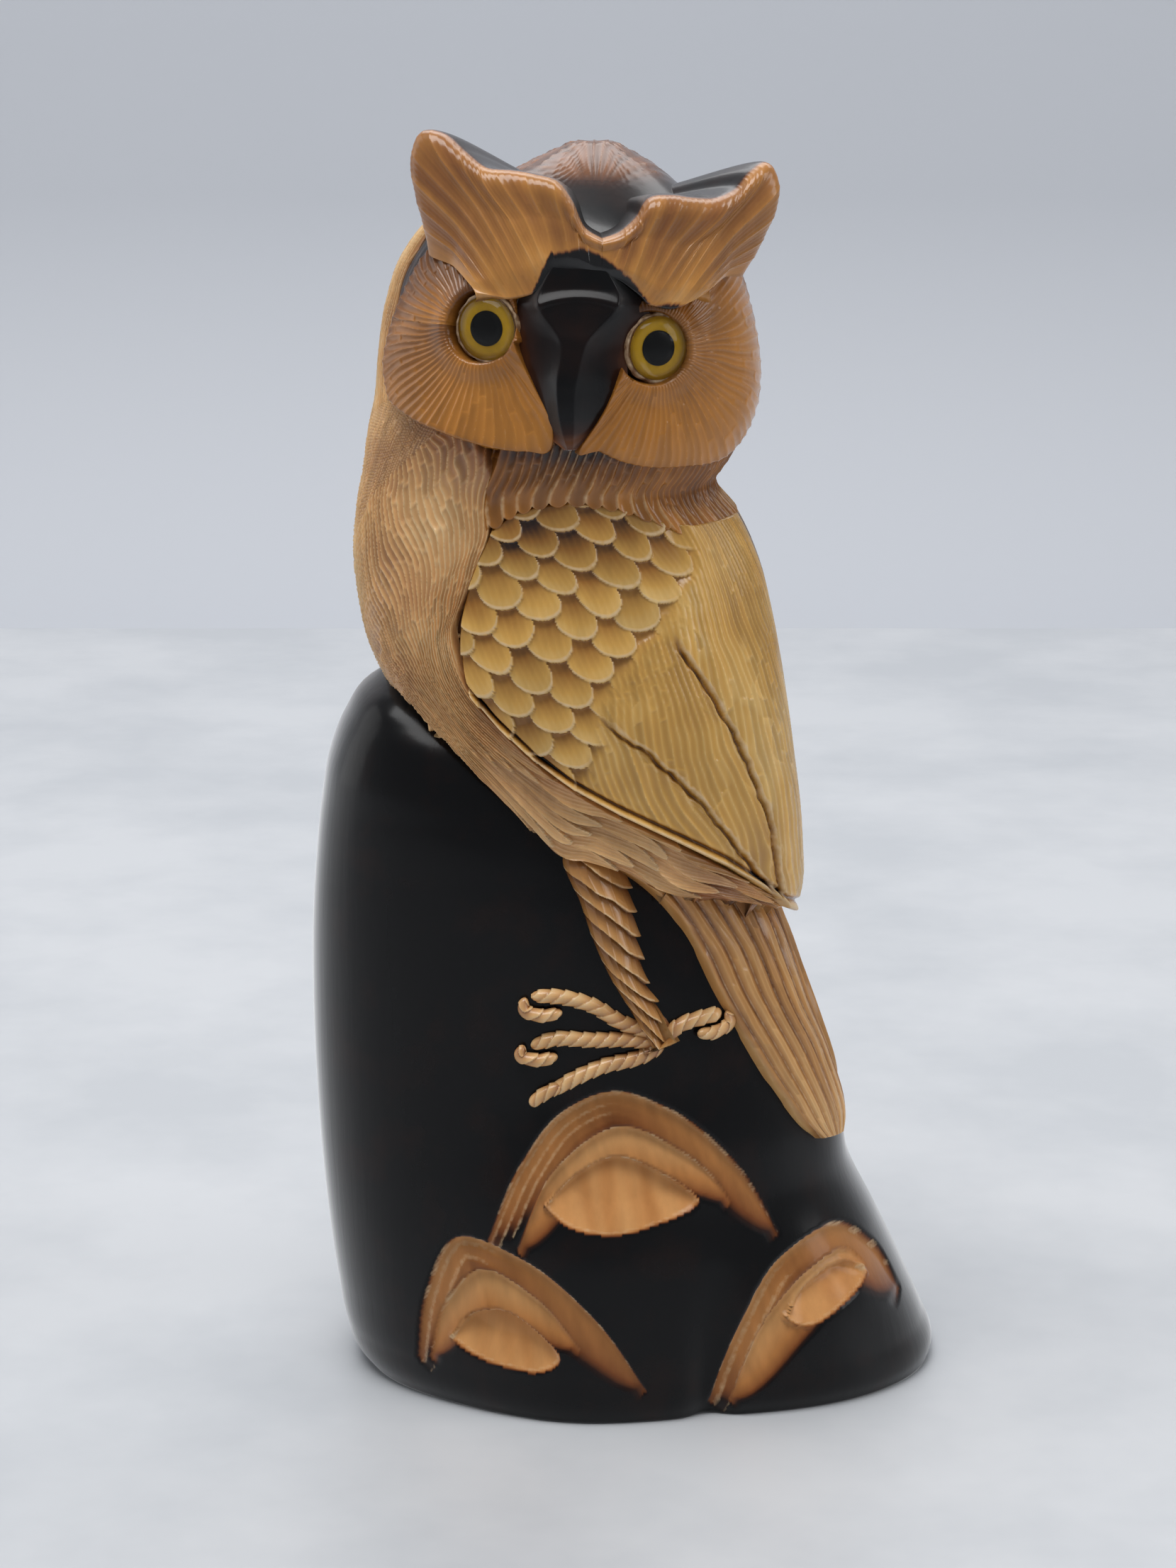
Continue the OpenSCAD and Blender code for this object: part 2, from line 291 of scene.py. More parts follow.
def carvedPatch(name, grid, marks, material, slotName="horn_amber", stands=("owl",), inward=2.5, farSide=False):
    # an open grid made a closed shell: its border is drawn inwards and joined to a point inside
    n, m = grid.shape[:2]
    away = np.cross(np.gradient(grid, axis=0), np.gradient(grid, axis=1)) * (grid - [-8, 0, 0]) * [1, 1, 0]
    if away.sum() < 0:     # rows that run downwards are turned so that faces look outwards
        grid, marks = grid[:, ::-1], {k: np.broadcast_to(v, (n, m))[:, ::-1] for k, v in marks.items()}
    i, j = np.arange(n), np.arange(m)
    loop = np.concatenate([i[:-1] * m, (n - 1) * m + j[:-1], i[:0:-1] * m + m - 1, j[:0:-1]])
    across = np.gradient(grid, axis=0)
    up = np.gradient(grid, axis=1)
    normal = np.cross(across, up).reshape(-1, 3)
    normal /= np.linalg.norm(normal, axis=1, keepdims=True) + 1e-9
    flat = grid.reshape(-1, 3)
    rim = flat[loop] - normal[loop] * inward
    middle = rim.mean(axis=0) - normal.mean(axis=0) * inward
    points = np.concatenate([flat, rim, middle[None]])
    first = n * m + np.arange(len(loop))
    second = np.roll(first, -1)
    loopNext = np.roll(loop, -1)
    skirt = np.stack([loopNext, loop, first, second], axis=1)
    fan = np.stack([second, first, np.full(len(loop), n * m + len(loop))], axis=1)
    full = {}
    for mark, values in marks.items():
        flatMark = np.broadcast_to(values, (n, m)).ravel()
        full[mark] = np.concatenate([flatMark, flatMark[loop], [flatMark.mean()]])
    makePiece(name, points, [gridFaces(n, m), skirt, fan], full, material, stands)
    if farSide:
        # the side turned away from the front: the same carving mirrored on half the rows, with a flatter nape
        flatter = smoothThrough([0, 108, 117, 123, 130, 170], [1, 1, 0.97, 0.87, 0.83, 0.83], grid[..., 2])
        mirrored = np.stack([grid[..., 0], -grid[..., 1] * flatter, grid[..., 2]], axis=-1)[:, ::2]
        halved = {mark: np.broadcast_to(values, (n, m))[:, ::2] for mark, values in marks.items()}
        carvedPatch(name + "Far", mirrored, halved, material, slotName, stands, inward)


def ringShell(name, grid, marks, material, stands=("owl",)):
    # rings one above another, closed round and capped by a point at each end
    n, m = grid.shape[:2]
    flat = grid.reshape(-1, 3)
    low, high = grid[:, 0].mean(axis=0), grid[:, -1].mean(axis=0)
    points = np.concatenate([flat, low[None], high[None]])
    i = np.arange(n)
    i2 = (i + 1) % n
    base = np.stack([i2 * m, i * m, np.full(n, n * m)], axis=1)
    top = np.stack([i * m + m - 1, i2 * m + m - 1, np.full(n, n * m + 1)], axis=1)
    full = {}
    for mark, values in marks.items():
        table = np.broadcast_to(values, (n, m))
        full[mark] = np.concatenate([table.ravel(), [table[:, 0].mean(), table[:, -1].mean()]])
    return makePiece(name, points, [gridFaces(n, m, wrap=True), base, top], full, material, stands)


def toLinear(hexText):
    # an sRGB hex colour as linear red, green, blue
    part = [int(hexText[k:k + 2], 16) / 255 for k in (1, 3, 5)]
    return [c / 12.92 if c <= 0.04045 else ((c + 0.055) / 1.055) ** 2.4 for c in part] + [1.0]


def addNode(tree, kind, settings=(), links=(), values=()):
    # one node with its settings, its links as {input: (node, output)} and its fixed inputs
    node = tree.nodes.new(kind)
    for key, value in dict(settings).items():
        setattr(node, key, value)
    for key, value in dict(values).items():
        node.inputs[key].default_value = value
    for key, (source, output) in dict(links).items():
        tree.links.new(source.outputs[output], node.inputs[key])
    return node


def addMath(tree, operation, links, values=()):
    return addNode(tree, "ShaderNodeMath", {"operation": operation}, links, values), 0


def addNoise(tree, place, scale, detail, roughness=0.5):
    return addNode(tree, "ShaderNodeTexNoise", links={"Vector": place},
                   values={"Scale": scale, "Detail": detail, "Roughness": roughness}), "Fac"


def addRamp(tree, source, stops):
    # the hex colours of {place: colour}, blended in order
    ramp = addNode(tree, "ShaderNodeValToRGB", links={"Fac": source})
    elements = ramp.color_ramp.elements
    while len(elements) < len(stops):
        elements.new(0.5)
    for element, (at, colour) in zip(elements, sorted(stops.items())):
        element.position = at
        element.color = toLinear(colour)
    return ramp, "Color"


def addRange(tree, source, values):
    return addNode(tree, "ShaderNodeMapRange", links={"Value": source}, values=values), 0


def addBump(tree, height, strength, metres):
    return addNode(tree, "ShaderNodeBump", links={"Height": height},
                   values={"Strength": strength, "Distance": metres}), 0


def newMaterial(name):
    # an empty material, its nodes and the coordinates of the object that wears it
    material = bpy.data.materials.new(name)
    material.use_nodes = True
    tree = material.node_tree
    tree.nodes.clear()
    return material, tree, (addNode(tree, "ShaderNodeTexCoord"), "Object")


def addSurface(tree, links, values):
    shader = addNode(tree, "ShaderNodeBsdfPrincipled", links=links, values=values)
    addNode(tree, "ShaderNodeOutputMaterial", links={"Surface": (shader, "BSDF")})


# fibres are drawn out along the height; haze is the fine rubbing marks that whiten black horn seen edge on
hornLook = {"fibreMm": 0.35, "fibreDraw": 0.08, "mottleMm": 7.0, "mottling": 0.16, "toneShare": 0.34,
            "frayed": "#DCBE94",
            "roughness": 0.27, "burrRoughness": 0.55, "lacquer": 0.3, "lacquerRoughness": 0.12, "glow": 0.05,
            "specular": 0.34, "haze": 0.0}
blackLook = dict(hornLook, roughness=0.24, lacquer=0.12, specular=0.12, glow=0.02, haze=0.8, lacquerRoughness=0.15)


def carvedHorn(name, colours, look=hornLook):
    # buffalo horn, cut with gouges through its black skin into the amber below, then lacquered.
    # the eye gets cut tone by depth, with painted shade in hollows and under overlaps on most pieces, a pale frayed
    # edge on each ridge, fine fibres and a wet gloss
    material, tree, place = newMaterial(name)
    depth, tone, burr = [(addNode(tree, "ShaderNodeAttribute", {"attribute_name": mark}), "Fac")
                         for mark in ("carve", "tone", "burr")]
    stretch = addNode(tree, "ShaderNodeMapping", links={"Vector": place}, values={"Scale": (1, 1, look["fibreDraw"])})
    fibre = addNoise(tree, (stretch, "Vector"), 250 / look["fibreMm"], 3, 0.6)
    # the carve mark, nudged by a mottle, picks the colour: the depth of cut, and on most pieces painted shade as well
    mottle = addNoise(tree, place, 1000 / look["mottleMm"], 3, 0.55)
    nudge = addMath(tree, "MULTIPLY_ADD", {0: mottle}, {1: look["mottling"], 2: -look["mottling"] / 2})
    picked = addRamp(tree, addMath(tree, "ADD", {0: depth, 1: nudge}), colours)
    # each cut's own tone and the fibres lighten or darken it
    shade = addMath(tree, "MULTIPLY_ADD", {0: tone}, {1: look["toneShare"], 2: 1 - look["toneShare"]})
    grain = addMath(tree, "MULTIPLY_ADD", {0: fibre, 2: shade}, {1: look["toneShare"]})
    tinted = addNode(tree, "ShaderNodeHueSaturation", links={"Color": picked, "Value": grain})
    # frayed ridges, broken up by a fine noise
    frayed = addMath(tree, "MULTIPLY", {0: burr, 1: addNoise(tree, place, 1400, 2)})
    edge = addRange(tree, frayed, {"From Min": 0.12, "From Max": 0.5, "To Max": 0.8})
    colour = addNode(tree, "ShaderNodeMix", {"data_type": "RGBA"}, {"Factor": edge, 6: (tinted, "Color")},
                     {7: toLinear(look["frayed"])})
    rough = addRange(tree, edge, {"To Min": look["roughness"], "To Max": look["burrRoughness"]})
    addSurface(tree, {"Base Color": (colour, 2), "Roughness": rough, "Normal": addBump(tree, fibre, 0.12, 0.0002)},
               {"IOR": 1.54, "Specular IOR Level": look["specular"], "Coat Weight": look["lacquer"],
                "Coat Roughness": look["lacquerRoughness"], "Subsurface Weight": look["glow"],
                "Subsurface Radius": (1.0, 0.45, 0.18), "Subsurface Scale": 0.0016,
                "Sheen Weight": look["haze"], "Sheen Roughness": 0.35})
    return material


# colours by the carve mark: 0 is the black skin, 1 the palest horn below it. The mark is the depth of cut, with painted
# shade added on most pieces
wingHorn, breastHorn, discHorn, browHorn, tailHorn = [
    carvedHorn("lacqueredHorn" + name, dict(zip((0.0, 0.14, 0.36, 0.68, 1.0), colours.split())))
    for name, colours in {"Wing": "#0B0A0C #44260F #966428 #CA9B4E #E8C37E",
                          "Breast": "#0B0A0C #4A2A16 #A06C45 #D8A870 #F0CF9C",
                          "Disc": "#0B0A0C #44220C #85521F #BC7C32 #DCA656",
                          "Brow": "#0B0A0C #3C2012 #88552F #BC8240 #E0B072",
                          "Tail": "#0B0A0C #442414 #87562C #BC874C #E2B87E"}.items()]
rockHornLook = carvedHorn("polishedBlackHorn", {0.0: "#050507", 0.14: "#2A1208", 0.34: "#7C4622", 0.6: "#B67A44",
                                                1.0: "#D6A066"}, blackLook)

rock = {"columns": 500, "rows": 195, "waveMm": 0.22, "lobeMm": 2.6, "cutDepth": 1.25, "midDepth": 1.9, "lensDepth": 2.4,
        "lowShare": 0.68, "crowding": 0.62, "lowTop": 47}
scallops = [
    {
        "outer": [(-18.4, 24.5), (-14, 34.9), (-8.9, 41.5), (-2.1, 44.3), (4.8, 42), (14.2, 33.7), (19.9, 23.8)],
        "mid": [(-14.5, 23.7), (-9.8, 34), (-1, 39.6), (6.7, 36.3), (11.1, 32.5), (13.5, 29)],
        "lens": [
            (-11.2, 29.3), (-6.5, 33.8), (-1.9, 35.7), (4, 33.6), (9, 29.1), (3.5, 26.6), (-3.2, 25.6), (-8, 26.8)],
        "close": [(-2, 8)], "layers": 3},
    {
        "outer": [(-28, 6.4), (-26.7, 15.9), (-22.3, 24.5), (-13.5, 22.4), (-4.3, 14.8), (2.6, 4.8)],
        "mid": [(-26.3, 6.9), (-24.4, 14.5), (-19.3, 20.4), (-11.7, 17.2), (-6, 11)],
        "lens": [
            (-23.5, 10.2), (-20.6, 14), (-16.5, 15.2), (-12, 13), (-8.7, 8.8), (-11.2, 7.2), (-14.3, 7.3),
            (-19.5, 8.2)],
        "close": [(-12, -8)], "layers": 2},
    {
        "outer": [(10.3, 1.9), (14.2, 12.5), (19.9, 20.9), (27.6, 23.2), (32.6, 19), (36.9, 11.7)],
        "mid": [(12.9, 2.5), (19.5, 15), (24, 18.6), (28.7, 19.9), (33, 16)],
        "lens": [(20.2, 12.7), (23.5, 16.6), (29, 18.3), (31.8, 16), (27.6, 12.8), (22.7, 11.4)],
        "close": [(26, -12)], "layers": 2}]


def scallopCuts(x, z):
    # each arch is a scoop: a sharp wall at its line, then a floor that climbs back to the skin;
    # the deepest scoop wins. Gives the depth cut away, how pale the horn is there, a tone and the chipped edge
    depth, tone, burr = np.zeros(x.shape), np.full(x.shape, 0.5), np.zeros(x.shape)
    shade = np.zeros(x.shape)
    for number, arch in enumerate(scallops):
        for step, (key, deep, wide) in enumerate((("outer", rock["cutDepth"], 7.5), ("mid", rock["midDepth"], 6.5))):
            line = smoothLine(arch[key], 40)
            far, share = besideLine(line, x, z)
            inside = insideShape(list(map(tuple, line)) + arch["close"], x, z)
            ends = np.sin(np.pi * np.clip(share, 0.02, 0.98)) ** 0.45
            if key == "outer":   # the left flank falls in thin terraces
                width = 3.4 / arch["layers"]
                terrace = (np.floor(far / width) + ease(0.55, 1, far / width % 1)) * width
                flank = 1 - ease(0.38, 0.6, share)
                worn = far + (terrace - far) * flank
                lip = flank * bell(far / width % 1, 0.75, 0.26) * (far < 3.6)
            else:
                worn, lip = far, 0
            floor = deep * ends * np.clip(1 - worn / (wide * ends), 0, 1) ** 0.8
            floor = floor * ease(0, 0.45, far) * inside
            # darker just inside the outer arch's top
            apex = 0.2 * bell(share, 0.5, 0.16) * ease(0.5, 1.8, far) * (key == "outer")
            wins = floor > depth
            depth = np.where(wins, floor, depth)
            shade = np.where(wins, floor / 1.9 + 0.19 * ease(0.05, 0.4, floor) + 0.06 * lip - apex, shade)
            lane = cloud(x + 0.4 * z, z * 0.12, 0.9, number * 5 + step)
            tone = np.where(wins, 0.5 + 0.3 * lane - (0.25 if key == "outer" else 0), tone)
            edge = bell(far, 0.25, 0.22) * ends * ease(-0.3, 0.3, cloud(x, z, 1.3, number))
            burr = np.where(wins, np.maximum(edge, lip * 0.5), burr)
        line = smoothLine(arch["lens"] + arch["lens"][:1], 60)
        far, share = besideLine(line, x, z)
        inside = insideShape(list(map(tuple, line[:-1])), x, z)
        upper, under = besideLine(line[:32], x, z)[0], besideLine(line[31:], x, z)[0]
        slope = np.clip(1 - upper / 9.5, 0, 1) ** 0.7 * np.clip(under / 4, 0, 1) ** 0.6
        floor = rock["lensDepth"] * slope * ease(0, 0.5, upper) * inside
        wins = (floor > depth) | (inside & (under < 2))
        rim = bell(upper, 0.3, 0.25) * ease(-0.2, 0.4, cloud(x, z, 1.1, number + 9)) + 0.45 * bell(under, 0.4, 0.3)
        burr = np.where(wins, rim, burr)
        tone = np.where(wins, 0.85 + 0.15 * cloud(x, z * 0.2, 1.2, number), tone)
        fibres = 0.14 * cloud(x + 0.2 * z, z * 0.15, 1.6, number + 3)
        shade = np.where(wins, (0.77 + fibres) * ease(-0.4, 0.5, under), shade)
        depth = np.where(wins, floor, depth)
    return depth, np.clip(shade, 0, 1), tone, burr


def lobeBelow(x, z):
    return rock["lobeMm"] * bell(x, -7, 15) * (1 - ease(18, 44, z))


def carveRock():
    # the ring surface, plus boulders, less the scallop cuts
    n, m = rock["columns"], rock["rows"]
    turn = np.linspace(-1, 1, n, endpoint=False)
    phi = 180 * (turn - rock["crowding"] * np.sin(np.pi * turn) / np.pi)      # columns crowd towards the front
    low = int(m * rock["lowShare"])      # rows crowd into the carved lower half
    z = np.concatenate([np.linspace(0, rock["lowTop"], low, endpoint=False),
                        np.linspace(rock["lowTop"], rockLevels[-1][0], m - low)])
    phi, z = np.meshgrid(phi, z, indexing="ij")
    bare = rockSurface(phi, z)
    x = bare[..., 0]
    # a boulder under two of the scallop groups, a furrow beside it, a second boulder, and slight waves
    lift = lobeBelow(x, z) * np.abs(np.cos(np.radians(phi)))
    lift -= 1.3 * bell(x, 10.5, 2.6) * (1 - ease(4, 22, z))
    lift += 0.9 * bell(x, 25, 9) * bell(z, 12, 10)
    lift += rock["waveMm"] * cloud(phi * mmPerDegree, z, 17, 3)
    depth, shade, tone, burr = scallopCuts(x, z)
    front = ease(0.02, 0.25, np.cos(np.radians(phi)))
    depth, shade, burr = depth * front, shade * front, burr * front
    grid = standOff(rockSurface, phi, z, lift - depth)
    grid[..., 2] = np.maximum(grid[..., 2], 0)
    grid[:, 0, 2] = 0
    ringShell("rockHorn", grid, {"carve": shade, "tone": tone, "burr": burr},
              rockHornLook, ["rock", "facet_centre", "facet_left", "facet_right"])


carveRock()
print("rock carved")


def flowPatch(outer, inner, columns, rows):
    # a ribbon between two drawn lines of (angle, height): columns across, rows along
    s, t = flatGrid(columns, rows)
    a, b = follow(outer, t[0]), follow(inner, t[0])
    phi = a[None, :, 0] * (1 - s) + b[None, :, 0] * s
    z = a[None, :, 1] * (1 - s) + b[None, :, 1] * s
    return s, t, phi, z


# outer is the belly's lower edge, from the tail up to the neck; inner is the line beside the wing
breast = {
    "columns": 210, "rows": 440, "hairDepth": 0.5, "leafDepth": 0.85,
    "outer": [
        (50, 66), (35, 68), (19, 69.3), (5, 70.2), (-5, 73), (-16, 74.5), (-27, 75.5), (-34, 81), (-41, 85.7),
        (-50, 90.6), (-60, 94), (-76, 95), (-90.5, 97), (-90.5, 108), (-90.5, 122), (-90.5, 132), (-90.5, 144),
        (-90.5, 157)],
    "inner": [
        (62, 66), (53, 67.5), (31, 73.6), (16, 77.4), (1, 81.2), (-9, 84.2), (-17, 87.4), (-25, 91.9),
        (-29.5, 95.5), (-31, 99), (-30, 104.5), (-25, 108.7), (-19, 113.5), (-14, 118), (-14, 123), (-22, 128.5),
        (-42, 131.5), (-58, 136), (-63, 145), (-64, 157)]}


def carveBreast():
    # hair strokes along the flow on the chest that turn into broad leaf strokes on the belly
    s, t, phi, z = flowPatch(breast["outer"], breast["inner"], breast["columns"], breast["rows"])
    wide = np.interp(t, [0, 0.13, 0.33, 0.47, 0.62, 0.76, 0.86, 1], [5, 9, 13, 22, 30, 30, 14, 9])
    chest = ease(0.4, 0.5, t + 0.05 * cloud(s * wide, t * 110, 5, 14))
    wander = 0.55 * cloud(s * wide, t * 110, 9, 4) + 0.25 * cloud(s * wide, t * 110, 3.5, 5)
    hairLane = (s * wide + 6 * np.sin(t * 5)) / 0.82
    hairLane = hairLane + wander * 1.2 + 0.3 * cloud(s * wide, t * 110, 2, 9)
    hair, hairTone, hairRidge = gouges(hairLane, t * 26 + 0.8 * cloud(s * 8, t * 20, 1.0, 6), 11)
    leafBack, _, leafTone = shingles(s * wide * 0.9 + (1 - t) * 34, (1 - t) * 112 - s * wide * 0.6, 2.7, 12, 9, 0.3, 12)
    leaf = np.clip(leafBack / 13, 0, 1) ** 0.8
    leafRidge = bell(leafBack, 0.15, 0.22)
    barbs = gouges(s * wide / 0.8 + 0.4 * wander, t * 14, 13)[0]
    leaf = leaf * 0.85 + 0.15 * barbs
    hollow = blend(breast["leafDepth"] * leaf, breast["hairDepth"] * hair, chest)
    tone = blend(leafTone, hairTone, chest)
    ridge = blend(leafRidge, 0.9 * hairRidge, chest)
    edge = np.minimum(np.minimum(s, 1 - s) * wide, t * 60 + 0.2)
    # it dives under the wing and at the belly's edge
    rim = 1.6 * (1 - ease(0, 0.8, edge)) * ((s > 0.5) | (t < 0.5))
    lift = 0.4 - hollow * ease(0, 2.5, t * 60) + 0.3 * cloud(phi * 0.35, z, 9, 7) - rim - 0.25 * ease(0.75, 0.8, t)
    grid = standOff(torsoSurface, phi, z, lift)
    # painted shade: darker in the strokes' hollows and along the belly's lower edge where the surface dives
    carve = 0.74 + 0.1 * chest - (0.3 + 0.28 * chest) * hollow - 0.15 * (1 - ease(0, 1.6, s * wide)) * (1 - chest)
    carve = (carve - 0.2 * ease(119, 128, z) * ease(-80, -55, phi) + 0.16 * cloud(phi * mmPerDegree, z, 10, 8)
             + 0.05 * cloud(phi * mmPerDegree, z, 3, 17))
    # painted shade where the breast dives under the wing
    carve -= 0.12 * (1 - ease(0.3, 1.6, (1 - s) * wide))
    carvedPatch("breastHorn", grid, {"carve": carve, "tone": tone, "burr": ridge * (0.5 + 0.5 * (1 - chest))},
                breastHorn, farSide=True)


carveBreast()

wing = {
    "columns": 330, "rows": 290, "mmPerDegree": 0.38, "scaleWide": 6.6, "scaleRow": 2.6, "scaleTip": 2.45,
    "scaleHalf": 0.345, "scaleTilt": 10,
        "scaleRise": 0.62, "strokeDepth": 0.2,
    "top": [
        (-14, 117.6), (-7, 119.6), (1, 120.6), (11, 121), (20, 120.6), (28, 119.8), (36, 118.2), (46, 117),
        (60, 117), (75, 117), (90.5, 117)],
    "low": [
        (-31, 96), (-25, 91.5), (-17, 87), (-9, 83.8), (1, 80.8), (16, 77), (31, 73.2), (42, 69.6), (53, 66),
        (70, 64), (90.5, 63)],
    "scaleEdge": [
        (85.6, -7), (90.2, 1), (94.1, 5), (97.5, 8), (101.5, 17), (104.6, 25), (108.4, 34), (112, 40), (119, 45)],
    "lineA": [(64, 56), (68.5, 48), (75, 38), (81, 29), (86.1, 22), (89.8, 14), (91.9, 9), (94.1, 5)],
    "lineB": [
        (64, 50), (69, 49), (73.6, 49), (81.1, 47), (87.2, 43), (92.6, 39), (97.6, 34), (101.1, 30), (105.3, 28)]}
bodyMm = 22.0    # a round figure for the body's radius, to turn angles into lengths


def carveWing():
    # scales at the front, then three layers of feather strokes, each a step above the last, split by trenches
    s, t = flatGrid(wing["columns"], wing["rows"])
    low, top = follow(wing["low"], s[:, 0]), follow(wing["top"], s[:, 0])
    phi = low[:, None, 0] * (1 - t) + top[:, None, 0] * t - 5 * 4 * t * (1 - t) * (1 - s) ** 2
    z = low[:, None, 1] * (1 - t) + top[:, None, 1] * t
    u = np.radians(phi) * bodyMm
    # scales
    tilt = math.radians(wing["scaleTilt"])
    across, down = u * math.cos(tilt) + z * math.sin(tilt), u * math.sin(tilt) - z * math.cos(tilt)
    tipAway, side, scaleTone = shingles(across, down, wing["scaleWide"], wing["scaleRow"], wing["scaleTip"], 0.12, 21,
                                        wing["scaleHalf"])
    reach = np.clip((tipAway + 0.8 * (0.6 - side)) / 4.9, 0, 1)
    streak = gouges(side * 3.2 + scaleTone * 5, tipAway / 9, 25)[0]
    scaleLift = wing["scaleRise"] * (1 - reach) ** 0.8 * (1 - 0.2 * side**2) - 0.12 - 0.02 * streak
    edgeAt = lineAt(wing["scaleEdge"], z)
    feather = ease(-0.9, 0.9, (phi - edgeAt) * wing["mmPerDegree"] * 0.7 + 0.5 * cloud(u, z, 2.2, 31))
    rag = 0.22 * cloud(u, z, 2.2, 32) + 0.12 * cloud(u, z, 0.8, 33)

    def trench(points, shift, lean, fade, soften):
        # from the distance right of a line: a step up, a ragged groove just before it and a lip on both sides.
        # the groove ends in the heights of fade, and the step grows soft over those of soften
        right = (phi - shift - lineAt(points, z)) * wing["mmPerDegree"] * lean
        within = 1 - ease(*fade, z)
        step = ease(-1, 1, (right + rag * within) / (0.25 + 9 * ease(*soften, z)))
        near = right + rag
        return step, bell(near, -0.25, 0.17) * within, (bell(near, 0.2, 0.2) + 0.4 * bell(near, -0.8, 0.2)) * within

    aboveA, trenchA, lipA = trench(wing["lineA"], 0, 0.72, (92, 94.5), (91, 99))
    aboveB, trenchB, lipB = trench(wing["lineB"], 1.5, 0.93, (101.5, 104.5), (101, 108))
    trenchA = trenchA * ease(0, 0.1, feather)
    # strokes fan out from a point above each layer
    fans = []
    for seed, (cu, cz), lanes, cutMm in ((41, (-3, 126), 40, 22), (42, (8.5, 131), 44, 26), (43, (14, 150), 60, 24)):
        angle = np.arctan2(u - cu, cz - z)
        far = np.hypot(u - cu, cz - z)
        lane = angle * lanes + 0.9 * cloud(u, z, 9, seed) + 0.3 * cloud(u, z, 3, seed + 5)
        fans.append(gouges(lane, far / cutMm + 0.8 * cloud(u, z, 4, seed + 9), seed))
    wA = aboveA * (1 - aboveB)
    shares = 1 - wA - aboveB, wA, aboveB
    hollow, tone, ridge = [sum(fan[k] * share for fan, share in zip(fans, shares)) for k in range(3)]
    layer = 0.35 + 0.45 * aboveA + 0.45 * aboveB
    toLow = (z - lineAt(wing["low"], phi)) * 0.85
    hollow = hollow * ease(1.2, 2.8, toLow)
    featherLift = layer - wing["strokeDepth"] * hollow - 0.5 * trenchA - 0.55 * trenchB + 0.04 * (lipA + lipB)
    lift = blend(scaleLift, featherLift, feather)
    toTop = lineAt(wing["top"], phi) - z
    border = np.minimum(np.minimum(s * 40 + 0.25, toTop), toLow)
    welt, groove = bell(toLow, 0.8, 0.3), bell(toLow, 1.6, 0.3)      # both run along the lower edge
    lift = lift * (1 - 0.6 * ease(60, 88, phi)) + 0.15 + 0.4 * welt - 0.6 * groove - 2.4 * (1 - ease(0, 0.7, border))
    grid = standOff(torsoSurface, phi, z, lift)
    # painted shade: each scale darker back from its tip, under the scale that overlaps it
    scaleCarve = 0.88 - 0.5 * reach**1.2 - 0.1 * side - 0.05 * streak - 0.2 * bell(phi, -6, 13) * ease(110, 117, z)
    # painted shade in the feather strokes' hollows and in the trenches
    featherCarve = 0.8 - 0.26 * hollow - 0.4 * (trenchA + trenchB) + 0.1 * aboveB
    carve = blend(scaleCarve, featherCarve, feather)
    # painted shade in the groove along the lower edge
    carve = (carve - 0.6 * bell(toLow, 1.6, 0.36) - 0.12 * ease(111, 118, z) + 0.1 * cloud(u, z, 8, 35)
             + 0.04 * cloud(u, z, 2.5, 37))
    carve = carve - 0.75 * ease(81, 90, phi + 2 * cloud(u, z, 5, 36))     # the back edge keeps the dark skin
    pale = bell(tipAway, 0.26, 0.24)
    burr = pale * (1 - feather) + (0.25 * ridge + 0.8 * (lipA + lipB)) * feather
    burr = np.maximum(burr, welt) * (1 - ease(72, 84, phi))
    carvedPatch("wingHorn", grid, {"carve": carve, "tone": blend(scaleTone, tone, feather), "burr": burr},
                wingHorn, farSide=True)


carveWing()

ruff = {
    "columns": 420, "rows": 130, "strokeMm": 1.0, "depth": 0.38,
    "low": [
        (-19, 116.6), (-13, 117.6), (-7, 119), (1, 120), (11, 120.4), (20, 119.9), (28, 119), (36, 117.2),
        (44, 115.6), (56, 115.6), (72, 116), (90.5, 116)]}


def carveRuff():
    # upright strokes under the face, ending in a fringe of leaf tips over the shoulder
    s, t = flatGrid(ruff["columns"], ruff["rows"])
    low = follow(ruff["low"], s[:, 0])
    phi = low[:, None, 0] + 0 * t
    u = np.radians(phi) * bodyMm
    lane = u / 1.9 + 0.2 * cloud(u, 0 * u, 6, 51)
    tip = 0.9 * np.abs(np.sin(np.pi * lane)) ** 0.7
    bottom = low[:, None, 1] - tip
    z = bottom * (1 - t) + 134 * t
    fringe = 1 - ease(2.5, 5, z - bottom)
    fine, fineTone, fineRidge = gouges(u / ruff["strokeMm"] + 0.35 * cloud(u, z, 4, 52), (z - 110) / 7, 53)
    wide, wideTone, wideRidge = gouges(lane, 0 * z + 0.4, 54)
    hollow = ruff["depth"] * (fine * (1 - fringe) + 1.1 * wide * fringe)
    lift = 0.95 - hollow - 0.5 * ease(0, 6, z - bottom) + 0.3 * bell(z, 122.5, 1.6)
    lift -= 2.2 * (1 - ease(0, 0.5, z - bottom)) + 1.5 * (1 - ease(0, 0.04, s)) + 1.6 * ease(127, 133, z)
    grid = standOff(torsoSurface, phi, z, lift)
    grey = bell(phi, 8, 17) * ease(120.5, 123.5, z)
    # painted shade in the stroke hollows, and a painted shadow under the disc at the top
    carve = 0.56 - 0.55 * hollow + 0.16 * fringe - 0.06 * grey + 0.08 * cloud(u, z, 5, 55) - 0.25 * ease(124.5, 127, z)
    carve = carve - 0.15 * ease(62, 78, phi)
    burr = fineRidge * (0.15 + 0.35 * grey) * (1 - fringe) + wideRidge * fringe * 0.6
    carvedPatch("ruffHorn", grid, {"carve": carve, "tone": blend(fineTone, wideTone, fringe), "burr": burr}, discHorn,
                farSide=True)


carveRuff()


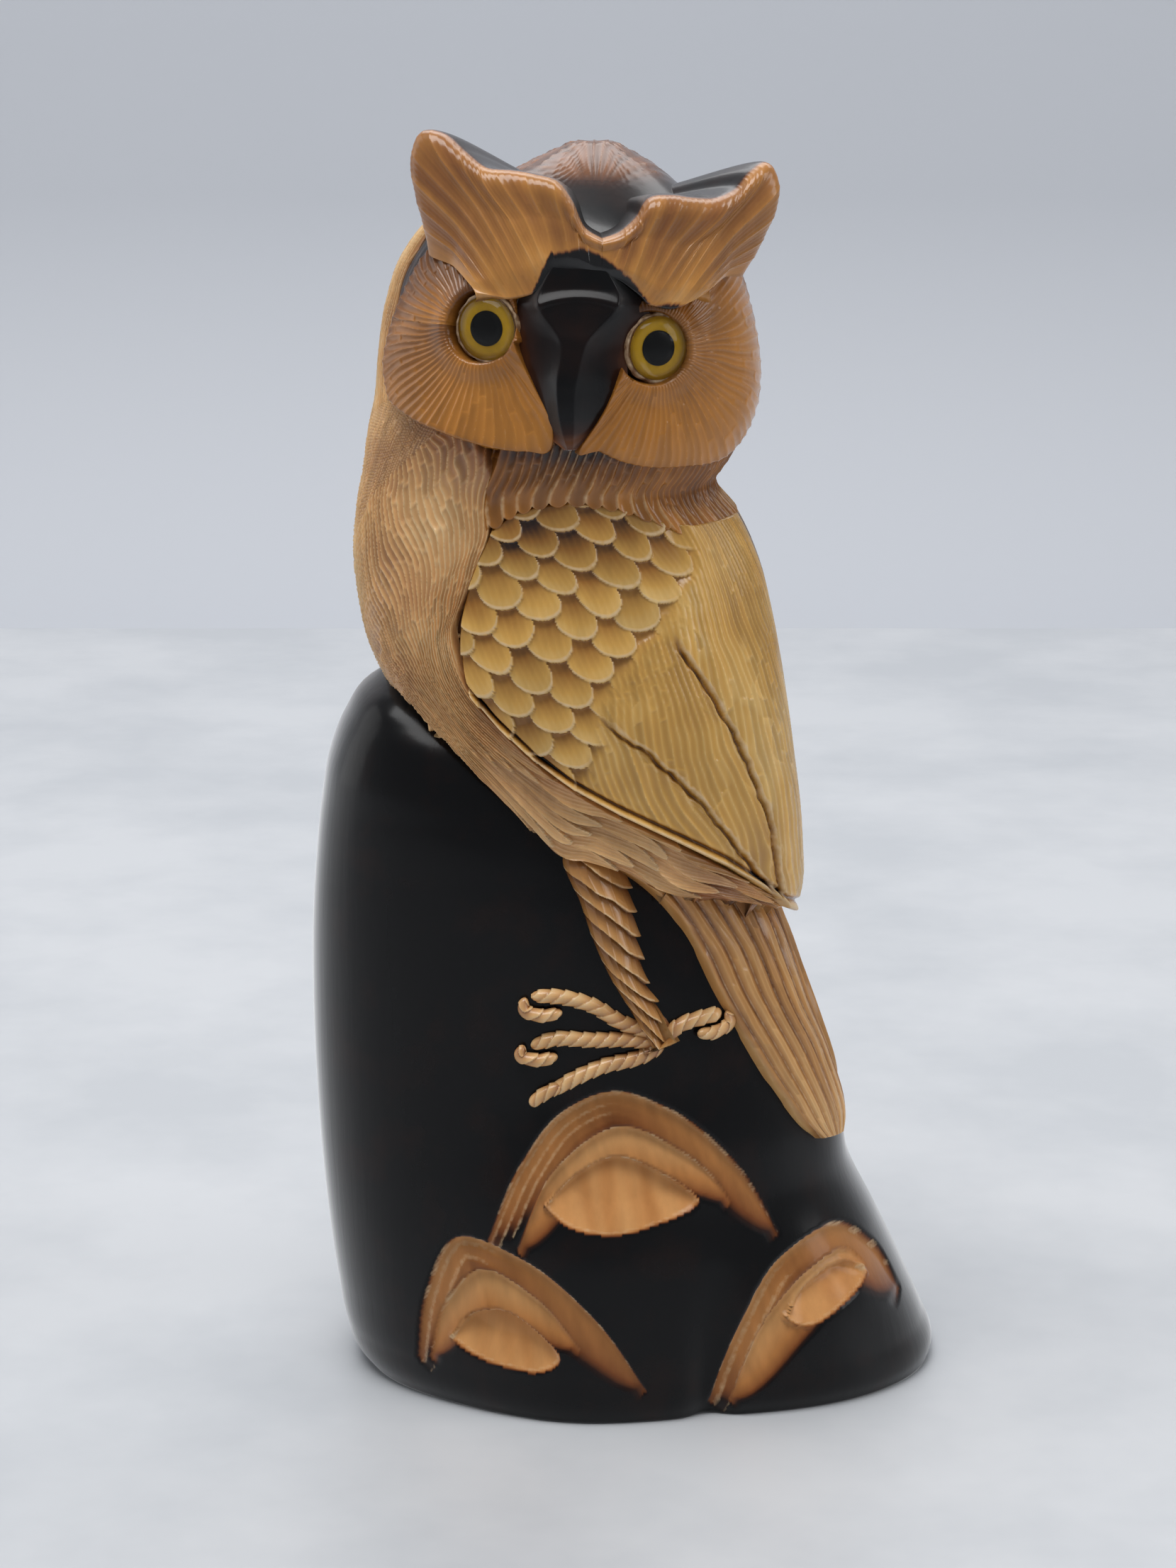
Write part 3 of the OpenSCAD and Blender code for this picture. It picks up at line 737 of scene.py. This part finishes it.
def carveCore():
    # a plain dark body just under the carved skin, so no gap shows through
    phi, z = flatGrid(180, 70, 71, 131, -180, 180, closed=True)
    grid = standOff(torsoSurface, phi, z, -1.5 - 1.5 * (1 - ease(71, 80, z)))
    ringShell("bodyCore", grid, {"carve": 0.18 + 0.45 * bell(phi, -90, 34), "tone": 0.4, "burr": 0.0}, breastHorn)


carveCore()
print("body carved")


discs = {
    "Left": {
        "eye": (-26, 142.3), "lanes": 74,
        "outline": [
            (-20, 150), (-30, 152), (-46, 152.4), (-58, 151.5), (-62, 148), (-64.5, 144), (-65.5, 140),
            (-65, 136.8), (-62, 134), (-59, 132.2), (-49, 130.3), (-35, 128.6), (-25, 127.6), (-15, 126.9),
            (-8, 126.8), (-0.5, 127.6), (-1, 129), (-8, 134.8), (-12.5, 141), (-15, 146)]},
    "Right": {
        "eye": (25, 139.7), "lanes": 86,
        "outline": [
            (6, 127.6), (12, 126.8), (19, 125.6), (30, 124.6), (41, 124.5), (58, 125), (73, 128), (86, 131.5),
            (93, 136), (92, 141.5), (81, 147), (64, 150), (50, 152), (38, 152), (30, 150), (22, 146), (15, 140.5),
            (13, 135.5), (9, 130.8)]}}
head = {"columns": 360, "rows": 140, "lanes": 110, "socketDepth": 4, "discColumns": 560, "discRows": 110}


def carveHead():
    # the head's ring surface with strokes combed from the crown down the nape and sides
    phi, z = flatGrid(head["columns"], head["rows"], headLevels[0][0], headLevels[-1][0], -180, 180, closed=True)
    lanes = phi / 360 * head["lanes"]
    hollow, tone, ridge = gouges(lanes + 0.6 * cloud(phi * mmPerDegree, z, 8, 61), z / 9, 62)
    crown = ease(153, 158, z)
    bare = headSurface(phi, z)
    # crown strokes fan out from the valley between the brows
    swing = np.degrees(np.arctan2(bare[..., 0] + 4.5, bare[..., 1] + 13))
    few, fewTone, fewRidge = gouges(swing / 7 + 0.25 * cloud(phi * 0.2, z, 3, 65), z / 40, 63)
    frontness = np.cos(np.radians(phi))
    band = ease(150, 153, z) * (1 - ease(158, 161, z)) * ease(-0.35, 0.1, frontness)
    gap = ease(142, 146, z) * ease(0, 0.15, frontness) * (1 - crown)     # black skin left between disc and brow
    depth = (0.3 * hollow * (1 - crown) + 0.22 * few * crown) * (1 - band) * (1 - 0.7 * gap)
    away = [np.hypot((phi - disc["eye"][0]) * mmPerDegree, z - disc["eye"][1]) for disc in discs.values()]
    socket = head["socketDepth"] * sum(1 - ease(4.2, 5.4, far) for far in away)
    grid = standOff(headSurface, phi, z,
                    0.1 - depth - socket - 2.4 * (1 - ease(128.5, 133, z)) * ease(-0.3, 0, frontness))
    side = ease(-100, -88, phi) * (1 - ease(-66, -60, phi))
    # painted shade in the stroke hollows
    carve = 0.6 - 0.6 * depth + 0.1 * side - 0.24 * crown
    carve = carve - 0.18 * ease(0, -0.5, frontness) * (1 - crown) + 0.05 * cloud(phi * mmPerDegree, z, 10, 64)
    carve = carve * (1 - 0.95 * band) * (1 - 0.85 * gap)
    burr = (0.3 * ridge * (1 - crown) + 0.3 * fewRidge * crown) * (1 - band)
    ringShell("headHorn", grid, {"carve": carve, "tone": blend(tone, fewTone, crown), "burr": burr}, browHorn)


carveHead()


def carveDisc(side):
    # strokes spread from the eye to the disc's outline, which stands clear of the ruff
    disc = discs[side]
    eyePhi, eyeZ = disc["eye"]
    outline = np.array(disc["outline"], float)
    turn = np.arctan2(outline[:, 1] - eyeZ, (outline[:, 0] - eyePhi) * mmPerDegree)
    order = np.argsort(turn)
    turn, outline = turn[order], outline[order]
    turn = np.concatenate([turn[-3:] - 2 * np.pi, turn, turn[:3] + 2 * np.pi])
    outline = np.concatenate([outline[-3:], outline, outline[:3]])
    theta = np.linspace(-np.pi, np.pi, head["discColumns"])
    edge = smoothThrough(turn, outline, theta)
    rho = np.linspace(0, 1, head["discRows"]) ** 0.9
    theta, rho = np.meshgrid(theta, rho, indexing="ij")
    phi = eyePhi + (edge[:, None, 0] - eyePhi) * rho
    z = eyeZ + (edge[:, None, 1] - eyeZ) * rho
    farMm = np.hypot((phi - eyePhi) * mmPerDegree, z - eyeZ)
    hollow, tone, ridge = gouges(theta / (2 * np.pi) * disc["lanes"] + 0.35 * cloud(theta * 12, farMm, 4, 71),
                                 farMm / 9 + 0.3, 72)
    depth = 0.2 * hollow * ease(3.6, 6, farMm)
    lower = ease(0.4, -0.5, np.sin(theta))
    rise = lower * ease(0.35, 0.95, rho) * (1 - 0.7 * ease(55, 85, phi))
    bowl = 0.4 + rise + 0.5 * bell(farMm, 5.2, 1.2)
    toRim = (1 - rho) * np.hypot((edge[:, None, 0] - eyePhi) * mmPerDegree, edge[:, None, 1] - eyeZ)
    lift = bowl - depth - 2.6 * (1 - ease(0, 0.9, toRim))
    lift = lift - head["socketDepth"] * (1 - ease(3.9, 4.5, farMm))
    grid = standOff(headSurface, phi, z, lift)
    # darker above the eye; painted shade along the rim, round the socket and in the stroke hollows
    dark = 0.2 * ease(-0.2, 0.9, np.sin(theta)) + 0.12 * bell(rho, 0.97, 0.05) + 0.12 * (1 - ease(4.2, 6, farMm))
    carve = 0.62 - 0.45 * depth - dark + 0.2 * cloud(theta * 6, farMm, 6, 73)
    tone = 0.5 + 0.55 * (tone - 0.5)
    carvedPatch("disc" + side, grid, {"carve": carve, "tone": tone, "burr": 0.25 * ridge * ease(5, 7, farMm)},
                discHorn)


for side in discs:
    carveDisc(side)

brows = {
    "Left": {
        "crest": [
            (-24.5, -11, 150.9), (-24.9, -11.5, 154.3), (-25.9, -12, 158.1), (-26.4, -12.3, 162.9),
            (-25.5, -12.5, 165), (-23.5, -13.5, 164.9), (-20.6, -15, 162.7), (-17.9, -16.3, 160.8),
            (-14.5, -17.2, 160.5), (-11.9, -18, 160.1), (-9.2, -18.8, 159.3), (-7.8, -19.3, 157.5),
            (-5.9, -20, 154), (-3.6, -20.6, 152.9)],
        "root": [
            (-18.9, -20.5, 146.5), (-16.5, -21, 146.1), (-15.2, -21.2, 145.9), (-13.4, -21.6, 146.2),
            (-12, -21.9, 146.6), (-10.8, -22, 147.6), (-9.4, -22, 149), (-6.8, -22, 149.4), (-3.6, -22, 148.9)]},
    "Right": {
        "crest": [
            (-3.6, -20.6, 152.9), (-1, -20, 153.6), (1, -19.3, 155.3), (2.3, -18.8, 157.3), (4.7, -18.2, 157.6),
            (7.6, -17.4, 157.2), (10.3, -16.4, 157.1), (12.9, -15.2, 158.1), (15.3, -13.6, 160.5),
            (16.7, -12.5, 161.2), (17.6, -12.3, 159.2), (17.4, -12, 157), (15.8, -11.5, 153.2), (13.3, -11, 148.2)],
        "root": [
            (-3.6, -22, 148.9), (-1.6, -22, 148.2), (-0.1, -22, 147.2), (1.2, -21.9, 146.2), (2.1, -21.8, 145.3),
            (3.4, -21.4, 144.9), (5.1, -21, 144.7), (7.3, -20.2, 145.4), (9.5, -18.5, 146.5)]}}
browLook = {"columns": 360, "rows": 150, "lanes": 13, "depth": 0.19, "bulge": 0.5,
            "patch": [(-13, 144), (-11.8, 147.3), (-9.8, 151.4), (-6, 152), (-3.6, 151), (0, 148.2), (2.4, 145)]}


def carveBrow(side):
    # a fan of leaf-shaped cuts from the beak's root to a scalloped crest, with a smooth black top behind it
    shape = brows[side]
    t, v = np.linspace(0, 1, browLook["columns"]), np.linspace(0, 1, browLook["rows"])
    crest, root = follow(shape["crest"], t), follow(shape["root"], t)
    middle = (crest + root) / 2 + np.array([0, -browLook["bulge"], 0.6])
    behind = crest * 0.42 + np.array([-5, 3, 155]) * 0.58
    grid = smoothThrough([0, 0.38, 0.7, 1], np.stack([root, middle, crest, behind]), v).transpose(1, 0, 2)
    s, v = np.meshgrid(t, v, indexing="ij")
    front = 1 - ease(0.69, 0.73, v)
    lane = s * browLook["lanes"] + 0.3 * cloud(s * 30, v * 10, 4, 81)
    place = lane % 1
    tone, ridge = chance(np.floor(lane), 82), 1 - ease(0, 0.2, np.minimum(place, 1 - place))
    hollow = (4 * place * (1 - place)) ** 0.7
    fineLane, fineTone, _ = gouges(lane * 4, v * 5, 83)
    ends = ease(0, 0.1, s) * ease(0, 0.1, 1 - s)
    depth = (front * ends * ease(0, 0.3, v)
             * (browLook["depth"] * hollow * (1 - 0.85 * ease(0.5, 0.7, v)) + 0.04 * fineLane))
    tone = 0.6 * tone + 0.4 * fineTone
    across, up = np.gradient(grid, axis=0), np.gradient(grid, axis=1)
    normal = np.cross(across, up)
    normal /= np.linalg.norm(normal, axis=-1, keepdims=True) + 1e-9
    grid = grid + normal * ((0.15 + 0.35 * ends) * ease(0, 0.12, v) - depth)[..., None]
    x, z = grid[..., 0], grid[..., 2]
    # the black patch above the beak has a frayed upper edge
    dark = ease(0.35, -0.35, z - lineAt(browLook["patch"], x) - 0.6 * (tone - 0.5))
    mottle = 0.12 * cloud(s * 30, v * 14, 5, 84) + 0.1 * cloud(lane * 1.2, v * 1.2, 1, 85)
    # painted shade in the leaf cuts' hollows
    carve = (0.68 - 0.8 * depth + mottle) * front * (1 - dark) + 0.03 * (1 - front)
    carvedPatch("brow" + side, grid,
                {"carve": carve, "tone": tone * front, "burr": 0.2 * ridge * front * ends * (1 - dark)},
                browHorn, inward=1.5)


for side in brows:
    carveBrow(side)

beak = {
    "columns": 160, "rows": 190,
    "left": [
        (127.4, -8.2), (128.8, -9.9), (134.7, -12.4), (141, -13.8), (146.2, -13.6), (149, -11.2), (152.4, -8.4)],
    "right": [
        (127.4, -6.8), (128.3, -5.4), (130.6, -3.2), (135.5, -0.6), (140.3, -0.4), (144.2, 2.2), (146, 1.8),
        (149, -1.6), (152.4, -5)],
    "ridge": [
        (127.4, -22), (128.4, -23.4), (131, -24.7), (135, -25.2), (141, -24.6), (146, -23), (147, -22.5),
        (149.5, -22), (152.4, -20.6)],
    "flat": [(127.4, 0.3), (130, 0.7), (136, 1.1), (141, 1.6), (146, 5), (148, 4.2), (152.4, 1.2)],
    "keel": [(127.4, -7.5), (135, -8), (141, -7), (147.5, -6.4), (152.4, -6.7)]}


def carveBeak():
    # straight flanks that rise to a narrow flat-topped keel
    s, z = flatGrid(beak["columns"], beak["rows"], beak["keel"][0][0], beak["keel"][-1][0])
    at = lambda key: smoothThrough(*np.array(beak[key]).T, z)
    left, right, top, flat, keel = map(at, ("left", "right", "ridge", "flat", "keel"))
    x = left * (1 - s) + right * s
    edgeY = frontOf(headLevels, x, z) - 0.1
    reach = np.where(x < keel, (keel - flat - x) / (keel - flat - left), (x - keel - flat) / (right - keel - flat))
    rise = 1 - np.clip(reach, 0, 1)
    rise = rise - 0.12 * np.sin(np.pi * np.clip(rise, 0, 1))
    y = edgeY + (top - edgeY) * rise
    # a raised brow line, a faint lower one and a slight hollow between them, on the flat only
    bow = (x - keel) ** 2
    line = (0.32 * bell(z + 0.04 * bow, 146.2, 0.6) + 0.12 * bell(z - 0.06 * bow, 141.2, 0.8)
            - 0.12 * bell(z, 143.6, 1.6))
    y = y - ease(0.75, 1, rise) * line
    soft = np.stack([x, y, z], axis=-1)
    for _ in range(4):
        soft[1:-1, :, 1] = (soft[:-2, :, 1] + 2 * soft[1:-1, :, 1] + soft[2:, :, 1]) / 4
    carve = 0.02 + 0.22 * (1 - ease(128.2, 132, z)) + 0.16 * ease(0.5, 1, np.abs(2 * s - 1)) * (1 - ease(143, 147, z))
    carvedPatch("beakHorn", soft, {"carve": carve, "tone": 0.5, "burr": 0.0}, rockHornLook, "horn_black", ["beak"],
                inward=3)


carveBeak()
print("head carved")


tail = {
    "columns": 160, "rows": 320, "feathers": 8, "rise": 2.0, "depth": 0.5,
    "left": [(13, 77), (23, 74), (31, 70), (35.5, 64), (37, 56.8), (40, 50.4), (45, 42.7), (50, 37.5), (57, 34.3)],
    "right": [(80, 73), (80, 70), (80, 66), (80, 62.8), (76, 57), (74, 51.3), (77, 43.1), (77.5, 37.3), (70, 33.6)]}


def carveTail():
    # long ridged feathers side by side, each with fine barbs; their ends step down the left edge
    s, t, phi, z = flowPatch(tail["left"], tail["right"], tail["columns"], tail["rows"])
    lane = s * tail["feathers"] + 0.18 * cloud(s * 4, t * 9, 1.5, 91)
    ridge = lane % 1
    convex = np.sin(np.pi * np.clip(ridge, 0, 1)) ** 0.6
    barbs, barbTone, barbRidge = gouges(lane * 3 + 0.3 * cloud(s * 9, t * 30, 2, 92), t * 7, 93)
    own = chance(np.floor(lane), 94)
    notch = 0.5 * bell(s, 0.05, 0.05) * ease(0.1, 0.9, np.sin(t * 34))
    wide = np.interp(t, [0, 0.3, 0.6, 1], [22, 12, 9, 5])
    edge = np.minimum(np.minimum(s, 1 - s) * wide, (1 - t) * 45)
    relief = (tail["depth"] * (convex - 0.6) - 0.12 * barbs) * ease(0, 1.5, edge) * (1 - 0.5 * ease(0.5, 0.9, t))
    lift = (tail["rise"] * (0.75 + 0.25 * np.sin(np.pi * s)) + relief) * (1 - 0.12 * ease(0.7, 1, t))
    # the upper end rises to meet the wing's tip
    root = 2.2 * (1 - ease(0.06, 0.2, t)) * ease(0.1, 0.5, s) + 0.6 * (1 - ease(0, 0.12, t))
    lift = lift - notch - 3 * (1 - ease(0, 0.8, edge)) + root
    grid = standOff(rockSurface, phi, z, lift)
    # painted light on each feather's rounded crown, painted shade down the barbs and in the seams between feathers
    carve = 0.58 + 0.22 * convex - 0.14 * barbs + 0.12 * (own - 0.5) + 0.12 * ease(0.5, 0.95, t)
    seam = (0.24 - 0.12 * ease(0.5, 0.9, t)) * (1 - ease(0, 0.25, np.minimum(ridge, 1 - ridge)))
    carve = carve - 0.2 * (1 - ease(0, 0.35, t)) * ease(0.25, 0.8, s) - seam
    burr = 0.15 * barbRidge + 0.4 * bell(ridge, 0.06, 0.05) + ease(0.95, 0.99, s)
    carvedPatch("tailHorn", grid, {"carve": carve, "tone": 0.6 * barbTone + 0.4 * own, "burr": burr}, tailHorn,
                farSide=True)


carveTail()

leg = {
    "columns": 110, "rows": 300, "bands": 9, "rise": 2.6,
    "left": [(-9.2, 77), (-8.6, 74), (-6.4, 69), (-4.9, 64.5), (-2.4, 59), (0, 54.9), (2.6, 50.4)],
    "right": [(-1, 77), (-0.4, 73.5), (0.9, 66.7), (1.6, 62.2), (2.4, 58.3), (4.1, 54.7), (5.2, 50.4)]}


def carveLeg():
    # a half-round leg wrapped by slanting bands, each high at its lower edge. Painted shade makes each band pale at
    # that edge and darker just below the band above, and darkens the leg's sides
    s, t, x, z = flowPatch(leg["left"], leg["right"], leg["columns"], leg["rows"])
    wrap = t * leg["bands"] - s * 2.3 + 0.12 * cloud(s * 4, t * 12, 1, 101)
    used = wrap % 1
    jag = 0.7 * ease(0.6, 1, s) * (used - 0.5)
    half = np.sqrt(np.clip(1 - (2 * s - 1) ** 2, 0, 1))
    lift = leg["rise"] * half**0.8 + 0.75 * (used**1.2 - 0.4) * half - 1.2 * (1 - half)
    lift -= 0.16 * gouges(s * 7 + 0.4 * cloud(s * 4, t * 9, 1, 104), wrap, 105)[0]
    base = frontOf(rockLevels, x, z)
    lift = lift - 1.6 * (1 - ease(0, 0.12, t))
    grid = np.stack([x + jag, base - lift, z], axis=-1)
    tone = 0.5 + 0.4 * (chance(np.floor(wrap), 102) - 0.5)
    # painted shade: darker just below the band above and at the sides
    carve = 0.36 + 0.46 * used - 0.2 * (1 - half)
    burr = bell(used, 0.93, 0.06) * ease(-0.6, 0.2, cloud(s * 5, t * 30, 1, 103))
    carvedPatch("legHorn", grid, {"carve": carve, "tone": tone, "burr": burr}, tailHorn, farSide=True)


carveLeg()

toes = [
    {
        "path": [(4.5, 50.6), (2, 52.2), (-1, 53.4), (-4.9, 55.8), (-8.9, 56.9), (-12.6, 57)],
        "claw": [(-13.4, 56.9), (-13.5, 55.4), (-11.6, 54.6), (-8.6, 55)]},
    {
        "path": [(4.5, 50.4), (0, 51.1), (-4.9, 51.2), (-9.9, 51.3), (-12.6, 50.4)],
        "claw": [(-13.6, 50.6), (-14, 49.4), (-12, 48.7), (-9.2, 49.2)]},
    {
        "path": [(4.5, 50.2), (1.5, 48.8), (-3.4, 47.7), (-6.9, 46.2), (-10, 44.4)],
        "claw": [(-8.6, 45.3), (-10.6, 44.4), (-12.2, 43.2), (-12.6, 42.6)]},
    {
        "path": [(4.3, 50.6), (6.4, 52.5), (9.5, 53.3), (12, 53.6)],
        "claw": [(12.6, 53.8), (13.2, 52.6), (11.4, 51.4), (8.8, 51.4)]}]
toeLook = {"radius": 0.95, "twist": 1.7, "clawRadius": 0.85, "columns": 48}


def carveToe(name, number, path, radius, rows, blunt, proud):
    # a tube along the path over the rock, swollen by a slanting rope twist, closing as (1 - |2t - 1|^blunt)^(1/2)
    t = np.linspace(0, 1, rows)
    line = follow(path, t)
    length = np.linalg.norm(np.diff(line, axis=0), axis=1).sum()
    along = np.gradient(line, axis=0)
    along /= np.linalg.norm(along, axis=1, keepdims=True)
    angle, share = np.meshgrid(np.linspace(0, 2 * np.pi, toeLook["columns"], endpoint=False), t, indexing="ij")
    twist = share * length / toeLook["twist"] - 0.55 * np.cos(angle) + 0.3 * number
    used = twist % 1
    ends = np.sqrt(np.clip(1 - np.abs(2 * np.clip(share, 0.004, 0.996) - 1) ** blunt, 0, 1))
    size = radius * ends * (1 + 0.22 * (used**0.8 - 0.55))
    x = line[None, :, 0] - size * np.cos(angle) * along[:, 1]
    z = line[None, :, 1] + size * np.cos(angle) * along[:, 0]
    y = frontOf(rockLevels, x, z) - 0.35 - 1.15 * size * np.sin(angle) - proud
    bulge = lobeBelow(x, z)
    # painted shade: darker where the rope twist narrows under the swell before it, paler on each swell
    carve = 0.56 + 0.2 * ease(0, 0.8, share) + 0.35 * (used - 0.6) + 0.05 * cloud(share * 9, angle, 1, number)
    burr = 0.8 * bell(used, 0.94, 0.07)
    ringShell(name, np.stack([x, y - bulge, z], axis=-1),
              {"carve": carve, "tone": 0.5 + 0.3 * (chance(np.floor(twist), 110 + number) - 0.5), "burr": burr},
              breastHorn)


for number, toe in enumerate(toes):
    carveToe("toeHorn" + str(number), number, toe["path"], toeLook["radius"], 180, 10, 0)
    carveToe("clawHorn" + str(number), number, toe["claw"], toeLook["clawRadius"], 80, 4, 0.4)
print("tail, leg and toes carved")


def enamel(name, centre, rim, at):
    # painted enamel under glass: one colour that darkens to a rim, read from the piece's own mark, with a faint speck
    material, tree, place = newMaterial(name)
    away = addNode(tree, "ShaderNodeAttribute", {"attribute_name": "away"})
    ramp = addRamp(tree, (away, "Fac"), {at: centre, 1.0: rim})
    speck = addRange(tree, addNoise(tree, place, 1500, 2), {"To Min": 0.85, "To Max": 1.15})
    mixed = addNode(tree, "ShaderNodeHueSaturation", links={"Color": ramp, "Value": speck})
    addSurface(tree, {"Base Color": (mixed, 0)}, {"Roughness": 0.4, "Specular IOR Level": 0.12})
    return material


def clearGlass():
    # pressed glass dome: clear and smooth. Its IOR is kept low, so the iris below isn't pushed aside
    material, tree, place = newMaterial("pressedGlassDome")
    addSurface(tree, {"Normal": addBump(tree, addNoise(tree, place, 220, 1), 0.03, 0.0002)},
               {"Roughness": 0.02, "Transmission Weight": 1.0, "IOR": 1.24})
    return material


def driedGlue():
    # dried white glue, chipped and stained brown where the socket was trimmed
    material, tree, place = newMaterial("driedGlue")
    lumps = addNoise(tree, place, 900, 4)
    addSurface(tree, {"Base Color": addRamp(tree, lumps, {0.38: "#7A5434", 0.66: "#C9AE8C"}),
                      "Normal": addBump(tree, lumps, 0.4, 0.0003)}, {"Roughness": 0.5})
    return material


eyes = {"radius": 4.0, "dome": 1.9, "pupil": 2.05, "turn": 27,
        "left": (-17.6, -19.6, 142.1), "right": (3.2, -19.6, 139.7)}
irisEnamel = enamel("yellowIrisEnamel", "#F2BC1E", "#8A5410", 0.72)
pupilEnamel = enamel("blackPupilEnamel", "#050505", "#0A0806", 0.5)
glass, glue = clearGlass(), driedGlue()


def turned(name, profile, centre, angle, material, node, ragged=0.0):
    # a profile of (radius, forward) carried round the eye's axis, closed at both ends
    profile = np.asarray(profile, float)
    n = 96
    a, k = np.meshgrid(np.linspace(0, 2 * np.pi, n, endpoint=False), np.arange(len(profile)), indexing="ij")
    radius, forward = profile[k, 0], profile[k, 1]
    radius = radius * (1 + ragged * cloud(a * 4, k * 0.7, 0.7, 121) * (radius > eyes["radius"] * 1.02))
    forward = forward + ragged * 2.2 * cloud(a * 5 + 9, k * 0.7, 0.8, 122) * (forward > 0.3)
    ax = np.array([math.sin(math.radians(angle)), -math.cos(math.radians(angle)), 0])
    right = np.array([math.cos(math.radians(angle)), math.sin(math.radians(angle)), 0])
    up = np.array([0, 0, 1.0])
    grid = (np.array(centre) + radius[..., None] * (np.cos(a)[..., None] * right + np.sin(a)[..., None] * up)
            + forward[..., None] * ax)
    return ringShell(name, grid, {"away": radius / radius.max()}, material, [node])


for side, sign in (("left", -1), ("right", 1)):
    centre, angle, r = eyes[side], sign * eyes["turn"], eyes["radius"]
    bedShape = [(r * 0.9, -0.9), (r * 1.08, -0.8), (r * 1.09, -0.2), (r * 1.07, 0.1), (r * 1.04, 0.2), (r * 1.0, 0.1),
                (r * 0.98, -0.1), (r * 0.9, -0.5)]
    turned("eyeGlue" + side, bedShape, centre, angle, glue, "eye_bed_" + side, 0.05)
    turned("iris" + side,
           [(0.01, -0.6), (r * 0.95, -0.6), (r * 0.97, -0.2), (r * 0.9, -0.12), (eyes["pupil"], -0.02), (0.01, 0)],
           centre, angle, irisEnamel, "eye_iris_" + side)
    turned("pupil" + side,
           [(0.01, 0), (eyes["pupil"], 0), (eyes["pupil"], 0.1), (eyes["pupil"] * 0.6, 0.2), (0.01, 0.24)],
           centre, angle, pupilEnamel, "eye_pupil_" + side)
    arc = np.linspace(0, np.pi / 2, 22)
    cap = ([(0.01, 0.3), (r * 0.5, 0.28), (r * 0.97, 0.05)]
           + [(r * 0.985 * math.cos(q) + 0.005, 0.1 + eyes["dome"] * math.sin(q)) for q in arc])
    turned("eyeGlass" + side, cap, centre, angle, glass, "eye_dome_" + side)
print("eyes set")


# a flat floor from front to where the bend starts, and a wall above the bend, in metres
stageLook = {"floor": "#CCCED1", "floorVein": "#BFC2C6", "wall": "#BFC2C8", "half": 1.6, "front": -1.4, "wallAt": 0.62,
             "bend": 0.12, "top": 1.9}


def stageMaterial(name, low, high, sizeMm, roughness):
    # honed pale stone or painted board: faint cloudy mottle, no gloss
    material, tree, place = newMaterial(name)
    mottle = addNoise(tree, place, 1000 / sizeMm, 5, 0.6)
    addSurface(tree, {"Base Color": addRamp(tree, mottle, {0.38: low, 0.6: high})}, {"Roughness": roughness})
    return material


def setStage():
    # one sheet in two pieces: a profile of 22 floor points, 14 round the bend and 24 up the wall, drawn out sideways
    wallAt, bend = stageLook["wallAt"], stageLook["bend"]
    k = np.linspace(0, 1, 60)
    turn = np.clip((k - 0.35) / 0.25, 0, 1) * np.pi / 2
    far = np.where(k < 0.35, np.interp(k, [0, 0.35], [stageLook["front"], wallAt - bend]),
                   wallAt - bend * (1 - np.sin(turn)))
    high = np.where(k > 0.6, np.interp(k, [0.6, 1], [bend, stageLook["top"]]), bend * (1 - np.cos(turn)))
    across = np.linspace(-stageLook["half"], stageLook["half"], 9)
    stone = stageMaterial("honedPaleStone", stageLook["floorVein"], stageLook["floor"], 70, 0.42)
    board = stageMaterial("matteGreyBoard", stageLook["wall"], stageLook["wall"], 300, 0.8)
    for name, keep, material in (("floor", slice(0, 22), stone), ("backdrop", slice(21, 60), board)):
        sheetX, sheetY = np.meshgrid(across, far[keep], indexing="ij")
        sheetZ = np.broadcast_to(high[keep], sheetX.shape)
        mesh = bpy.data.meshes.new(name)
        mesh.from_pydata(np.stack([sheetX, sheetY, sheetZ], axis=-1).reshape(-1, 3).tolist(), [],
                         gridFaces(*sheetX.shape).tolist())
        mesh.polygons.foreach_set("use_smooth", np.ones(len(mesh.polygons), bool))
        mesh.materials.append(material)
        sheet = bpy.data.objects.new(name, mesh)
        bpy.context.scene.collection.objects.link(sheet)


setStage()


def aim(thing, place, target):
    # turn a camera or lamp at place so that it looks at target
    bpy.context.scene.collection.objects.link(thing)
    thing.location = place
    thing.rotation_euler = (Vector(target) - Vector(place)).to_track_quat("-Z", "Y").to_euler()


middle = np.array([-5.3, -6, 81.2]) * metresPerMm
# each lamp: where it stands and its size, in metres, and its watts
for name, place, size, watts in (("lampAbove", (-0.2, -0.2, 1.1), (0.8, 0.6), 8.8),
                                 ("lampLeft", (-0.85, 0.2, 0.3), (0.5, 0.9), 1.4),
                                 ("lampSide", (0.8, -0.2, 0.5), (0.3, 0.6), 1.6),
                                 ("lampBack", (0.1, 0.45, 0.7), (0.9, 0.3), 2)):
    light = bpy.data.lights.new(name, "AREA")
    light.shape, light.size, light.size_y, light.energy = "RECTANGLE", *size, watts
    aim(bpy.data.objects.new(name, light), place, middle)
world = bpy.data.worlds.new("softRoom")
bpy.context.scene.world = world
world.use_nodes = True
room = world.node_tree.nodes["Background"]
room.inputs["Color"].default_value = toLinear("#E2E5EA")
room.inputs["Strength"].default_value = 0.385

cameraLook = {"distance": 0.430, "pitch": 14, "lens": 75.4}
camera = bpy.data.objects.new("camera", bpy.data.cameras.new("camera"))
camera.data.lens, camera.data.sensor_width = cameraLook["lens"], 36
camera.data.clip_start, camera.data.clip_end = 0.02, 20
pitch = math.radians(cameraLook["pitch"])
aim(camera, middle + cameraLook["distance"] * np.array([0, -math.cos(pitch), math.sin(pitch)]), middle)
bpy.context.scene.camera = camera
bpy.context.scene.view_settings.view_transform = "Standard"
print("stage set")
